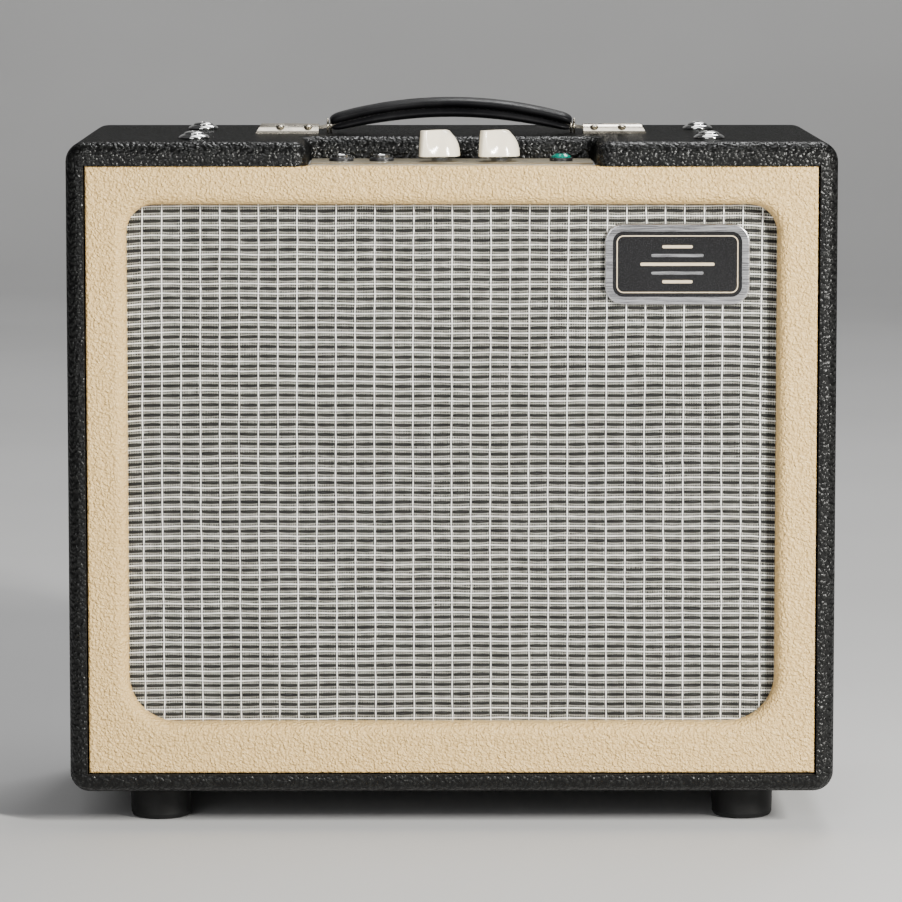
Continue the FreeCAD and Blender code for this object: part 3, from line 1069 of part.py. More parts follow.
skin, boards = cabinet()
screws = wood_screws()
node(screws, "wood_screws")
chassis_bolts()
bolt_ways = chassis()
handle_fixings = handle()
for board_name, board in boards.items():
    tools = [screws]
    if board_name == "cabinet_top":
        tools += [bolt_ways, handle_fixings]
    node(cut(board_name, board, *tools), board_name)
node(cut("vinyl_covering", skin, bolt_ways, handle_fixings, screws), "vinyl_covering")
basket_screws = speaker_screws()
front(screws, basket_screws)
back(screws)
feet(screws)
inner_parts()
controls()
rear_parts()
speaker(basket_screws)
lead()
doc.recompute()

for thing in doc.Objects:
    if {"Invalid", "Error"} & set(thing.State):
        raise ValueError(f"{thing.Name} failed: {thing.State}")
for thing in nodes:
    shape = Part.getShape(thing)
    if shape.isNull() or not shape.isValid() or not shape.Solids:
        raise ValueError(f"{thing.Label} has no valid solid")
for thing in nodes:
    Part.getShape(thing).exportStep(f"parts/{thing.Label}.step")
print(len(nodes), "nodes")
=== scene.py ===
"""The looks of a small valve guitar amplifier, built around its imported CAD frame."""

import json
import math

import bpy
import numpy as np
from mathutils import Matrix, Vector


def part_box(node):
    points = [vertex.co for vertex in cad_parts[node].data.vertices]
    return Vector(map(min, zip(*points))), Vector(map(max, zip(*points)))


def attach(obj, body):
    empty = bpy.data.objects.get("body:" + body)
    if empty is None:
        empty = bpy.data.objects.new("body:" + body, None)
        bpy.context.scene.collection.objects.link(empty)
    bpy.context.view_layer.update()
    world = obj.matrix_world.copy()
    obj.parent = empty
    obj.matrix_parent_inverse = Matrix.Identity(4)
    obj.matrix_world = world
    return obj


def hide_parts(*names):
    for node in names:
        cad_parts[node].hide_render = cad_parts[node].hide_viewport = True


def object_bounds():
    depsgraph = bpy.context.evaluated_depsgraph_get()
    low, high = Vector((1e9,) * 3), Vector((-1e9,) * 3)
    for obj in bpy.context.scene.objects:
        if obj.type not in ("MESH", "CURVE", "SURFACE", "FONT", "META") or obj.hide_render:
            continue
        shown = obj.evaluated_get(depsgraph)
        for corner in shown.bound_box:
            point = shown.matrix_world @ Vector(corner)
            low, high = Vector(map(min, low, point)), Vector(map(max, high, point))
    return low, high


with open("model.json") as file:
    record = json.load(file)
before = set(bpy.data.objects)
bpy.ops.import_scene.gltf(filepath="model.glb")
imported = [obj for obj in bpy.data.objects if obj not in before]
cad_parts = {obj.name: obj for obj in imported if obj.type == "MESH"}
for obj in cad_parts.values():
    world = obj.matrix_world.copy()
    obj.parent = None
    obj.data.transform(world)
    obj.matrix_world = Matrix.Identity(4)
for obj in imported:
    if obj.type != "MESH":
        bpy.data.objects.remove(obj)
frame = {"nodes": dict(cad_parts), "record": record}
cad_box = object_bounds()

MM = 0.001
NODES = frame["nodes"]
rng = np.random.default_rng(7)


# ---------------------------------------------------------------- materials


class Surface:
    """A Principled material with shorthand for the nodes that feed it."""

    def __init__(self, name, color=(0.5, 0.5, 0.5), rough=0.5, metal=0.0, **sockets):
        self.material = bpy.data.materials.new(name)
        self.material.use_nodes = True
        self.tree = self.material.node_tree
        self.shader = self.tree.nodes["Principled BSDF"]
        self.set("Base Color", (*color, 1.0))
        self.set("Roughness", rough)
        self.set("Metallic", metal)
        for socket, value in sockets.items():
            self.set(socket.replace("_", " "), value)
        self.place = self.add("ShaderNodeTexCoord").outputs["Object"]

    def set(self, socket, value):
        """Sets a shader socket to a value, or links it."""
        if isinstance(value, bpy.types.NodeSocket):
            self.tree.links.new(value, self.shader.inputs[socket])
        else:
            self.shader.inputs[socket].default_value = value

    def add(self, kind, inputs=None, **settings):
        made = self.tree.nodes.new(kind)
        for name, value in settings.items():
            setattr(made, name, value)
        for key, value in (inputs or {}).items():
            if isinstance(value, bpy.types.NodeSocket):
                self.tree.links.new(value, made.inputs[key])
            else:
                made.inputs[key].default_value = value
        return made

    def noise(self, scale, detail=3.0, rough=0.5, warp=0.0, at=None, kind="FBM"):
        return self.add("ShaderNodeTexNoise", {
            "Vector": at or self.place, "Scale": scale, "Detail": detail,
            "Roughness": rough, "Distortion": warp,
        }, noise_type=kind, normalize=kind == "FBM").outputs[0]

    def cells(self, scale, feature="SMOOTH_F1", at=None, jitter=1.0, smooth=0.3):
        inputs = {"Vector": at or self.place, "Scale": scale, "Randomness": jitter}
        if feature == "SMOOTH_F1":
            inputs["Smoothness"] = smooth
        return self.add("ShaderNodeTexVoronoi", inputs, feature=feature).outputs["Distance"]

    def warped(self, scale, amount):
        """Object coordinates pushed about by noise, in metres."""
        noise = self.add("ShaderNodeTexNoise", {"Vector": self.place, "Scale": scale})
        centred = self.add("ShaderNodeVectorMath", {0: noise.outputs["Color"], 1: (0.5,) * 3},
                           operation="SUBTRACT").outputs[0]
        scaled = self.add("ShaderNodeVectorMath", {0: centred, 3: amount},
                          operation="SCALE").outputs[0]
        return self.add("ShaderNodeVectorMath", {0: self.place, 1: scaled},
                        operation="ADD").outputs[0]

    def stretched(self, x, y, z):
        """Object coordinates scaled by an amount along each axis."""
        return self.add("ShaderNodeVectorMath", {0: self.place, 1: (x, y, z)},
                        operation="MULTIPLY").outputs[0]

    def math(self, operation, a, b=0.0, c=0.0):
        return self.add("ShaderNodeMath", {0: a, 1: b, 2: c}, operation=operation).outputs[0]

    def ramp(self, value, low, high, out_low=0.0, out_high=1.0, smooth=True):
        return self.add("ShaderNodeMapRange", {
            0: value, 1: low, 2: high, 3: out_low, 4: out_high,
        }, interpolation_type="SMOOTHSTEP" if smooth else "LINEAR").outputs[0]

    def mix(self, amount, first, second, blend="MIX"):
        """Mixes two colours, each a tuple or a socket."""
        made = self.add("ShaderNodeMix", data_type="RGBA", blend_type=blend)
        for key, value in ((0, amount), (6, first), (7, second)):
            if isinstance(value, bpy.types.NodeSocket):
                self.tree.links.new(value, made.inputs[key])
            else:
                made.inputs[key].default_value = (*value, 1.0) if key else value
        return made.outputs[2]

    def bump(self, height, distance):
        """Raises the surface by a height from 0 to 1 times a distance in metres."""
        old = self.shader.inputs["Normal"]
        inputs = {"Height": height, "Distance": distance, "Strength": 1.0}
        if old.is_linked:
            inputs["Normal"] = old.links[0].from_socket
        self.set("Normal", self.add("ShaderNodeBump", inputs).outputs[0])

    def tint(self, first, second, scale, low=0.35, high=0.65):
        """Base colour that drifts between two colours."""
        drift = self.ramp(self.noise(scale), low, high)
        self.set("Base Color", self.mix(drift, first, second))
        return drift


def pebble_vinyl():
    """Coarse black pebbled covering: round grains with creases between them, with painted shade in the
    creases.
    """
    s = Surface("pebble_vinyl", (0.007, 0.0073, 0.007), 0.3)
    at = s.warped(260, 0.0026)
    grain = s.cells(470, at=at, smooth=0.5)
    height = s.math("SUBTRACT", 1.0, s.ramp(grain, 0.1, 0.8))
    height = s.math("MULTIPLY_ADD", s.noise(190, 1), 0.8, height)
    height = s.math("MULTIPLY_ADD", s.noise(1500, 1), 0.10, height)
    s.bump(height, 0.0005)
    # Painted shade: the base colour follows the grain height, so the creases between grains are
    # coloured darker than the grain tops.
    s.set("Base Color", s.mix(s.ramp(height, 0.6, 1.6), (0.002, 0.002, 0.002),
                              (0.008, 0.0085, 0.008)))
    s.set("Roughness", s.ramp(s.noise(900, 2), 0.3, 0.75, 0.27, 0.4))
    facing = s.add("ShaderNodeLayerWeight", {"Blend": 0.5}).outputs["Facing"]
    s.set("Specular IOR Level", s.ramp(facing, 0.45, 0.88, 0.24, 0.003))
    return s.material


def cream_vinyl():
    """Fine wrinkled cream covering with soft raised folds, with painted shade in the low creases
    between them.
    """
    s = Surface("cream_vinyl", (0.7, 0.5, 0.27), 0.38, Specular_IOR_Level=0.45)
    at = s.warped(340, 0.0028)
    folds = s.cells(640, at=at, smooth=0.7)
    ridges = s.noise(640, 2, kind="RIDGED_MULTIFRACTAL")
    pores = s.noise(1900, 2)
    height = s.math("MULTIPLY_ADD", ridges, 0.3, s.math("SUBTRACT", 0.8, folds))
    height = s.math("MULTIPLY_ADD", pores, 0.15, height)
    s.bump(height, 0.0014)
    drift = s.ramp(s.noise(14, 2), 0.3, 0.7)
    base = s.mix(drift, (0.80, 0.550, 0.225), (0.83, 0.575, 0.24))
    # Painted shade: the base colour follows the fold height, so the low creases between folds are
    # coloured darker.
    s.set("Base Color", s.mix(s.ramp(height, 0.1, 0.9), (0.68, 0.45, 0.175), base))
    s.set("Roughness", s.ramp(pores, 0.3, 0.7, 0.28, 0.42))
    return s.material


def thread(name, light, dark, rough=0.62):
    """Twisted yarn: colour flecks and a fine fibre bump."""
    s = Surface(name, light, rough, Specular_IOR_Level=0.35, Sheen_Weight=0.25,
                Sheen_Roughness=0.4)
    fibre = s.noise(2600, 2)
    patch = s.noise(120, 2)
    blend = s.math("MULTIPLY_ADD", patch, 0.6, s.math("MULTIPLY", fibre, 0.4))
    s.set("Base Color", s.mix(s.ramp(blend, 0.36, 0.62), dark, light))
    s.bump(fibre, 0.00006)
    return s.material


def polished(name, color, rough=0.08, haze=0.10):
    """Plated metal with faint cloudy wear and hairlines."""
    s = Surface(name, color, rough, 1.0)
    cloud = s.noise(160, 3)
    s.set("Roughness", s.ramp(cloud, 0.35, 0.75, rough, rough + haze))
    s.bump(s.noise(700, 2), 0.000012)
    s.set("Base Color", s.mix(s.ramp(cloud, 0.4, 0.8), color, tuple(0.86 * c for c in color)))
    return s.material


def brushed(name, color, grain=(60, 2200, 2200), rough=0.3):
    """Metal or plate with fine brush lines along X."""
    s = Surface(name, color, rough, 1.0)
    lines = s.noise(1.0, 3, at=s.stretched(*grain))
    s.set("Roughness", s.ramp(lines, 0.3, 0.7, rough - 0.06, rough + 0.1))
    s.set("Base Color", s.mix(s.ramp(lines, 0.3, 0.7), tuple(0.82 * c for c in color), color))
    s.bump(lines, 0.000015)
    return s.material


def moulded(name, color, rough=0.35, grain=1600, depth=0.00002, drift=0.12):
    """Moulded plastic: a fine mould texture and a slow change of tone."""
    s = Surface(name, color, rough)
    s.tint(color, tuple((1 - drift) * c for c in color), 40)
    fine = s.noise(grain, 2)
    s.bump(fine, depth)
    s.set("Roughness", s.ramp(fine, 0.3, 0.7, rough - 0.05, rough + 0.07))
    return s.material


def painted_ply():
    """Plywood under thin black paint, with its long grain showing through."""
    s = Surface("painted_ply", (0.03, 0.028, 0.026), 0.7)
    grain = s.noise(1.0, 4, at=s.stretched(40, 900, 900), warp=0.4)
    s.set("Base Color", s.mix(s.ramp(grain, 0.35, 0.7), (0.014, 0.013, 0.012),
                              (0.040, 0.035, 0.030)))
    s.bump(grain, 0.00012)
    return s.material


def bare_wood():
    """Bare pine with its grain along Z."""
    s = Surface("bare_pine", (0.5, 0.34, 0.18), 0.6)
    grain = s.noise(1.0, 4, at=s.stretched(420, 420, 26), warp=0.6)
    s.set("Base Color", s.mix(s.ramp(grain, 0.3, 0.7), (0.36, 0.22, 0.105),
                              (0.56, 0.39, 0.215)))
    s.bump(grain, 0.00010)
    return s.material


def foot_rubber():
    """Black rubber with a fine moulded grain."""
    s = Surface("foot_rubber", (0.006, 0.006, 0.006), 0.55, Specular_IOR_Level=0.22)
    s.tint((0.005, 0.005, 0.005), (0.009, 0.009, 0.009), 90)
    s.bump(s.noise(1300, 3), 0.00005)
    return s.material


def handle_skin():
    """Smooth black covering with a faint leather grain and rubbed highlights."""
    s = Surface("handle_skin", (0.008, 0.008, 0.009), 0.4, Specular_IOR_Level=0.10)
    grain = s.cells(1500, at=s.warped(500, 0.0008), smooth=0.4)
    s.bump(s.math("SUBTRACT", 1.0, grain), 0.00005)
    wear = s.ramp(s.noise(45, 3), 0.4, 0.7)
    s.set("Base Color", s.mix(wear, (0.005, 0.005, 0.006), (0.012, 0.012, 0.013)))
    s.set("Roughness", s.ramp(s.noise(70, 3), 0.3, 0.7, 0.34, 0.5))
    return s.material


def jewel_glass():
    """Green jewel: tinted glass with a faint glow and a swirl of tone."""
    s = Surface("jewel_glass", (0.0, 0.42, 0.30), 0.03, Transmission_Weight=0.35, IOR=1.5,
                Emission_Strength=0.05)
    s.set("Emission Color", (0.0, 0.55, 0.40, 1.0))
    swirl = s.noise(900, 2)
    s.set("Base Color", s.mix(s.ramp(swirl, 0.3, 0.7), (0.0, 0.17, 0.125), (0.0, 0.36, 0.27)))
    return s.material


def valve_glass():
    """Clear glass with a slight haze in patches."""
    s = Surface("valve_glass", (0.93, 0.96, 0.96), 0.02, Transmission_Weight=1.0, IOR=1.46)
    s.set("Roughness", s.ramp(s.noise(120, 3), 0.4, 0.8, 0.01, 0.08))
    return s.material


def cone_paper():
    """Felted black paper with a few brown fibres."""
    s = Surface("cone_paper", (0.03, 0.028, 0.026), 0.82)
    felt = s.noise(700, 5, 0.7)
    s.set("Base Color", s.mix(s.ramp(felt, 0.42, 0.72), (0.016, 0.015, 0.014),
                              (0.07, 0.06, 0.045)))
    s.bump(felt, 0.00012)
    return s.material


def woven(name, first, second, scale=1100, depth=0.00012, rough=0.7):
    """A plain weave, from two crossed waves."""
    s = Surface(name, first, rough)
    across = s.add("ShaderNodeTexWave", {"Vector": s.place, "Scale": scale / 6}).outputs[1]
    along = s.add("ShaderNodeTexWave", {"Vector": s.place, "Scale": scale / 6},
                  bands_direction="Z").outputs[1]
    weave = s.math("MULTIPLY", across, along)
    s.set("Base Color", s.mix(weave, second, first))
    s.bump(weave, depth)
    return s.material


def laminate(name, first, second, rough=0.4, scale=60):
    """A smooth board whose tone drifts between two colours."""
    s = Surface(name, first, rough)
    s.tint(first, second, scale)
    s.bump(s.noise(1500, 2), 0.00003)
    return s.material


def control_plate_metal():
    """Satin champagne plate with a fine printed dial ring around each pot."""
    s = Surface("champagne_plate", (0.55, 0.47, 0.33), 0.34, 0.85)
    lines = s.noise(1.0, 3, at=s.stretched(90, 2600, 2600))
    plate = s.mix(s.ramp(lines, 0.3, 0.7), (0.25, 0.215, 0.145), (0.34, 0.295, 0.205))
    ink = None
    split = s.add("ShaderNodeSeparateXYZ", {0: s.place})
    for shaft in ("volume_shaft", "tone_shaft"):
        low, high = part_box(shaft)
        centre = (low + high) / 2
        dx = s.math("SUBTRACT", split.outputs[0], centre.x)
        dy = s.math("SUBTRACT", split.outputs[1], centre.y)
        reach = s.math("SQRT", s.math("ADD", s.math("MULTIPLY", dx, dx),
                                      s.math("MULTIPLY", dy, dy)))
        ring = s.math("COMPARE", reach, 15.2 * MM, 0.35 * MM)
        angle = s.math("MULTIPLY", s.math("ARCTAN2", dy, dx), 10 / (2 * math.pi) * 1.2)
        tick = s.math("LESS_THAN", s.math("FRACT", s.math("ADD", angle, 0.5)), 0.09)
        band = s.math("COMPARE", reach, 13.7 * MM, 1.1 * MM)
        mark = s.math("MAXIMUM", ring, s.math("MULTIPLY", tick, band))
        ink = mark if ink is None else s.math("MAXIMUM", ink, mark)
    s.set("Base Color", s.mix(ink, plate, (0.02, 0.018, 0.016)))
    s.set("Metallic", s.math("MULTIPLY_ADD", ink, -0.85, 0.85))
    s.set("Roughness", s.ramp(lines, 0.3, 0.7, 0.28, 0.42))
    s.bump(lines, 0.00001)
    return s.material


def make_materials():
    return {
        "black_vinyl": pebble_vinyl(),
        "cream_vinyl": cream_vinyl(),
        "plywood_black": painted_ply(),
        "plywood": bare_wood(),
        "white_thread": thread("white_thread", (0.94, 0.93, 0.89), (0.80, 0.79, 0.75)),
        "grey_thread": thread("grey_thread", (0.56, 0.55, 0.48), (0.33, 0.325, 0.27)),
        "dark_thread": thread("dark_thread", (0.018, 0.018, 0.015), (0.004, 0.004, 0.004), 0.8),
        "grille_cloth": woven("cloth_ground", (0.005, 0.005, 0.005), (0.002, 0.002, 0.002), rough=0.95),
        "silver_metal": brushed("silver_metal", (0.60, 0.60, 0.62), rough=0.26),
        "zinc_steel": brushed("zinc_steel", (0.55, 0.55, 0.53), rough=0.36),
        "screw_steel": polished("screw_steel", (0.09, 0.09, 0.095), 0.3, 0.2),
        "chrome": polished("chrome", (0.70, 0.70, 0.69), 0.07),
        "nickel": polished("nickel", (0.55, 0.505, 0.42), 0.2),
        "champagne_plate": control_plate_metal(),
        "black_plastic": moulded("black_plastic", (0.014, 0.014, 0.015), 0.34),
        "badge_black": moulded("badge_black", (0.010, 0.010, 0.011), 0.22),
        "badge_cream": moulded("badge_cream", (0.72, 0.60, 0.42), 0.35),
        "ivory_plastic": moulded("ivory_plastic", (0.95, 0.87, 0.69), 0.12, 900,
                                 0.00001, 0.05),
        "green_lens": jewel_glass(),
        "valve_glass": valve_glass(),
        "rubber_black": foot_rubber(),
        "handle_black": handle_skin(),
        "basket_paint": moulded("basket_paint", (0.05, 0.05, 0.055), 0.32, 700, 0.00005),
        "ferrite": moulded("ferrite", (0.075, 0.075, 0.08), 0.72, 1300, 0.00008),
        "paper_cone": cone_paper(),
        "doped_cloth": woven("doped_cloth", (0.05, 0.045, 0.036), (0.02, 0.018, 0.014)),
        "spider_cloth": woven("spider_cloth", (0.50, 0.31, 0.09), (0.30, 0.17, 0.04)),
        "copper_coil": brushed("copper_coil", (0.62, 0.30, 0.14), (2200, 60, 2200)),
        "cardboard": laminate("gasket_card", (0.09, 0.08, 0.07), (0.14, 0.12, 0.10), 0.9, 300),
        "tag_board": laminate("tag_board", (0.20, 0.10, 0.045), (0.26, 0.14, 0.06)),
        "circuit_green": laminate("circuit_green", (0.02, 0.10, 0.04), (0.03, 0.14, 0.06)),
        "iron_black": moulded("iron_black", (0.022, 0.022, 0.024), 0.42, 900, 0.00005),
        "cable_black": moulded("cable_black", (0.016, 0.016, 0.017), 0.45),
        "socket_white": moulded("socket_white", (0.70, 0.69, 0.64), 0.5, 1200, 0.00004),
        "winding_paper": laminate("winding_paper", (0.52, 0.36, 0.16), (0.42, 0.27, 0.11), 0.6),
        "anode_grey": moulded("anode_grey", (0.07, 0.07, 0.075), 0.5, 900, 0.00004),
        "getter_silver": polished("getter_silver", (0.62, 0.60, 0.58), 0.12),
    }


MATERIAL = make_materials()


# ---------------------------------------------------------------- mesh helpers


def piece(name, points, faces, material, body, smooth=True):
    """A mesh piece that rides on a CAD body."""
    mesh = bpy.data.meshes.new(name)
    mesh.from_pydata([tuple(p) for p in points], [], faces)
    mesh.validate()
    mesh.update()
    if smooth:
        mesh.polygons.foreach_set("use_smooth", [True] * len(mesh.polygons))
    made = bpy.data.objects.new(name, mesh)
    bpy.context.scene.collection.objects.link(made)
    made.data.materials.append(MATERIAL[material])
    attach(made, body)
    return made


def quads(rings, around):
    """Faces of a skin over closed rings of equal size."""
    r = np.arange(rings - 1)[:, None]
    a = np.arange(around)[None, :]
    b = (a + 1) % around
    grid = np.stack([r * around + a, r * around + b, (r + 1) * around + b,
                     (r + 1) * around + a], -1)
    return grid.reshape(-1, 4)


def fast_piece(name, points, faces, material, body):
    """A large all-quad mesh piece, filled in from arrays."""
    mesh = bpy.data.meshes.new(name)
    mesh.vertices.add(len(points))
    mesh.vertices.foreach_set("co", np.asarray(points, np.float32).ravel())
    mesh.loops.add(faces.size)
    mesh.loops.foreach_set("vertex_index", faces.astype(np.int32).ravel())
    mesh.polygons.add(len(faces))
    mesh.polygons.foreach_set("loop_start", np.arange(len(faces), dtype=np.int32) * 4)
    mesh.polygons.foreach_set("use_smooth", np.ones(len(faces), bool))
    mesh.update(calc_edges=True)
    made = bpy.data.objects.new(name, mesh)
    bpy.context.scene.collection.objects.link(made)
    made.data.materials.append(MATERIAL[material])
    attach(made, body)
    return made


def lathe(name, profile, centre, axis, material, body, around=48):
    """A profile of (radius, height) turned about an axis through a centre."""
    axis = Vector(axis).normalized()
    side = axis.orthogonal().normalized()
    other = axis.cross(side)
    points = []
    for radius, height in profile:
        for i in range(around):
            a = 2 * math.pi * i / around
            spoke = side * math.cos(a) + other * math.sin(a)
            points.append(Vector(centre) + axis * height + spoke * max(radius, 1e-6))
    faces = quads(len(profile), around).tolist()
    faces.append(list(range(around))[::-1])
    faces.append(list(range(len(points) - around, len(points))))
    return piece(name, points, faces, material, body)


# ---------------------------------------------------------------- CAD nodes


def dress_cad_nodes():
    """Gives every CAD node the material of its slot, and rounds the sharp edges of some of them a
    little.
    """
    slots = {row["node"]: row["material_slot"] for row in frame["record"]["subparts"]}
    soft_edge = {
        "attenuator_knob": 0.5, "control_plate": 0.2,
        "handle_end_cap_left": 0.25, "handle_end_cap_right": 0.25,
        "handle_link_left": 0.3, "handle_link_right": 0.3, "back_panel_lower": 0.5,
        "back_panel_upper": 0.5, "chassis": 0.4, "power_transformer": 0.8,
        "output_transformer": 0.8, "mains_inlet": 0.4, "power_switch": 0.4,
        "speaker_back_plate": 0.6, "speaker_top_plate": 0.5, "speaker_magnet": 0.6,
        "pot_nuts": 0.2, "battens": 0.6,
    }
    for name, node in NODES.items():
        node.data.materials.clear()
        node.data.materials.append(MATERIAL[slots[name]])
        if name in soft_edge:
            bevel = node.modifiers.new("soft_edge", "BEVEL")
            bevel.width = soft_edge[name] * MM
            bevel.segments = 2
            bevel.limit_method = "ANGLE"
            bevel.angle_limit = math.radians(40)
            bevel.harden_normals = False


# ---------------------------------------------------------------- grille cloth

CELL = 11.5 * MM
WARPS = 8
WARP_PITCH = CELL / WARPS
ROW = 5.8 * MM
GROUND_INSET = 0.5 * MM
YARN_INSET = 4 * MM
RELIEF = 0.22 * MM
FAT = 1.3
DARK_MIDDLE = 0.51


def cloth_area():
    """Half width, bottom and top of the part of the cloth that carries yarns."""
    low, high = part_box("grille_cloth")
    return high.x - YARN_INSET, low.z + YARN_INSET, high.z - YARN_INSET


def cloth_shape(x, z, half, low, high):
    """How far the stretched weave strays: pulled down near its sides, and a slow wander."""
    edge = np.clip((np.abs(x) - (half - 34 * MM)) / (34 * MM), 0, 1)
    droop = -1.5 * MM * edge**2 * np.clip((z - low) / (high - low) + 0.35, 0, 1)
    wander = 0.35 * MM * np.sin(x * 21 + 1.3) * np.sin(z * 17) + 0.12 * MM * np.sin(x * 140 + z * 60)
    lean = 0.30 * MM * np.sin(z * 19 + 0.4) + 0.10 * MM * np.sin(z * 130 + x * 50)
    return lean, droop + wander


def yarns(name, spots, upright, span, step, wide, thick, depth, over, material, around=4,
          sway=None):
    """Yarns through the cloth. over(i, s) is how far each stands out, in units of RELIEF."""
    half, low, high = cloth_area()
    start, end = span
    count = int(round((end - start) / step))
    s = np.linspace(start, end, count + 1)
    rings, faces = [], []
    base = quads(len(s), around)
    turn = np.arange(around) / around * 2 * math.pi + math.pi / around
    for i, spot in enumerate(spots):
        kinks = np.interp(s, np.linspace(start, end, 60), rng.normal(0, 0.09 * MM, 60))
        if sway:
            kinks = kinks + sway(i, s)
        x, z = (np.full_like(s, spot) + kinks, s) if upright else (s, np.full_like(s, spot) + kinks)
        dx, dz = cloth_shape(x, z, half, low, high)
        x, z = x + dx, z + dz
        out = over(i, s) * RELIEF
        width = wide * (1 + 0.14 * np.sin(s * 900 + i * 1.7) + rng.normal(0, 0.05, len(s)))
        ring_side = np.outer(width, np.cos(turn)) / 2 * FAT
        ring_out = np.outer(np.full_like(s, thick), np.sin(turn)) / 2 * FAT
        y = depth - out[:, None] - ring_out
        if upright:
            ring = np.stack([x[:, None] + ring_side, y, z[:, None] + 0 * y], -1)
        else:
            ring = np.stack([x[:, None] + 0 * y, y, z[:, None] + ring_side], -1)
        rings.append(ring.reshape(-1, 3))
        faces.append(base + i * len(s) * around)
    return fast_piece(name, np.concatenate(rings), np.concatenate(faces), material,
                      "cabinet")


def grille_cloth():
    """The cloth: a dark ground sheet with white, grey and black yarns woven through it."""
    low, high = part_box("grille_cloth")
    half, bottom, top = cloth_area()
    columns, rows = 66, 54
    xs = np.linspace(-high.x + GROUND_INSET, high.x - GROUND_INSET, columns + 1)
    zs = np.linspace(low.z + GROUND_INSET, high.z - GROUND_INSET, rows + 1)
    points = [(x, high.y - 0.15 * MM, z) for z in zs for x in xs]
    wide = columns + 1
    faces = [(r * wide + c, r * wide + c + 1, (r + 1) * wide + c + 1, (r + 1) * wide + c)
             for r in range(rows) for c in range(columns)]
    ground = piece("grille_cloth_ground", points, faces, "grille_cloth", "cabinet")
    middle = low.y + 0.45 * MM
    cells = int(half // CELL)
    warps = [c * CELL + k * WARP_PITCH
             for c in range(-cells - 1, cells + 1) for k in range(1, WARPS)]
    warps = [x for x in warps if abs(x) < half]
    posts = [c * CELL for c in range(-cells, cells + 1)]
    row_count = int((top - bottom) // ROW)
    first = (top + bottom) / 2 - row_count * ROW / 2
    levels = [first + r * ROW for r in range(row_count + 1)]
    upright, across = (bottom, top), (-half, half)

    def in_row(s):
        return (s - first) / ROW % 1.0

    def middle_of_cell(s):
        return np.sin(np.clip(s / CELL % 1.0, 0, 1) * math.pi)

    def warp_out(i, s):
        share = in_row(s)
        dark = np.exp(-((share - DARK_MIDDLE) / 0.16) ** 4)
        weave = np.cos((share - 0.3) / 0.41 * math.pi)
        return 0.55 + 0.5 * (-1) ** i * weave - 2.2 * dark

    def post_out(i, s):
        return 1.5 + 0.5 * np.cos(in_row(s) * 2 * math.pi + math.pi)

    def weft_out(i, s):
        return 0.45 * (-1) ** i * np.cos(s / WARP_PITCH * math.pi)

    def white_out(i, s):
        return 1.6 + 0.35 * np.cos(s / CELL * 2 * math.pi) * (-1) ** i

    def float_out(i, s):
        return -1.6 + 2.9 * np.clip(middle_of_cell(s) * 1.7, 0, 1)

    def bow_out(i, s):
        return (1 if i % 2 else -1) * 0.26 * MM * (middle_of_cell(s) - 0.5)

    def band_out(i, s):
        return (i % 3 - 1) * 0.24 * MM * (middle_of_cell(s) - 0.7)

    greys = [z + ROW * share for z in levels[:-1] for share in (0.28, 0.74)]
    darks = [z + ROW * share for z in levels[:-1] for share in (0.43, DARK_MIDDLE, 0.59)]
    made = [
        yarns("grille_warps", warps, True, upright, ROW / 6, 0.50 * MM, 0.40 * MM,
              middle, warp_out, "grey_thread", 3),
        yarns("grille_posts", posts, True, upright, ROW / 4, 0.86 * MM, 0.50 * MM,
              middle, post_out, "white_thread"),
        yarns("grille_wefts", greys, False, across, WARP_PITCH, 0.36 * MM, 0.36 * MM,
              middle, weft_out, "grey_thread", 3, bow_out),
        yarns("grille_lines", levels, False, across, WARP_PITCH, 0.78 * MM, 0.50 * MM,
              middle, white_out, "white_thread"),
        yarns("grille_floats", darks, False, across, CELL / 8, 0.82 * MM, 0.40 * MM,
              middle, float_out, "dark_thread", 3, band_out),
    ]
    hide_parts("grille_cloth")


# ---------------------------------------------------------------- badge


def rounded_outline(half_x, half_z, radius, steps=8):
    points = []
    for corner, (sx, sz) in enumerate(((1, 1), (-1, 1), (-1, -1), (1, -1))):
        for i in range(steps + 1):
            a = math.pi / 2 * (corner + i / steps)
            points.append((sx * (half_x - radius) + radius * math.cos(a),
                           sz * (half_z - radius) + radius * math.sin(a)))
    return points


def frame_strip(name, outer, inner, centre, y, thick, material):
    """A flat closed band between two outlines of equal point counts, facing -Y."""
    count = len(outer)
    points = []
    for outline, depth in ((outer, 0), (outer, 1), (inner, 1), (inner, 0)):
        for x, z in outline:
            points.append((centre.x + x, y - depth * thick, centre.z + z))
    faces = []
    for band in range(4):
        for i in range(count):
            j = (i + 1) % count
            a, b = band * count, (band + 1) % 4 * count
            faces.append((a + i, a + j, b + j, b + i))
    return piece(name, points, faces, material, "cabinet", smooth=False)


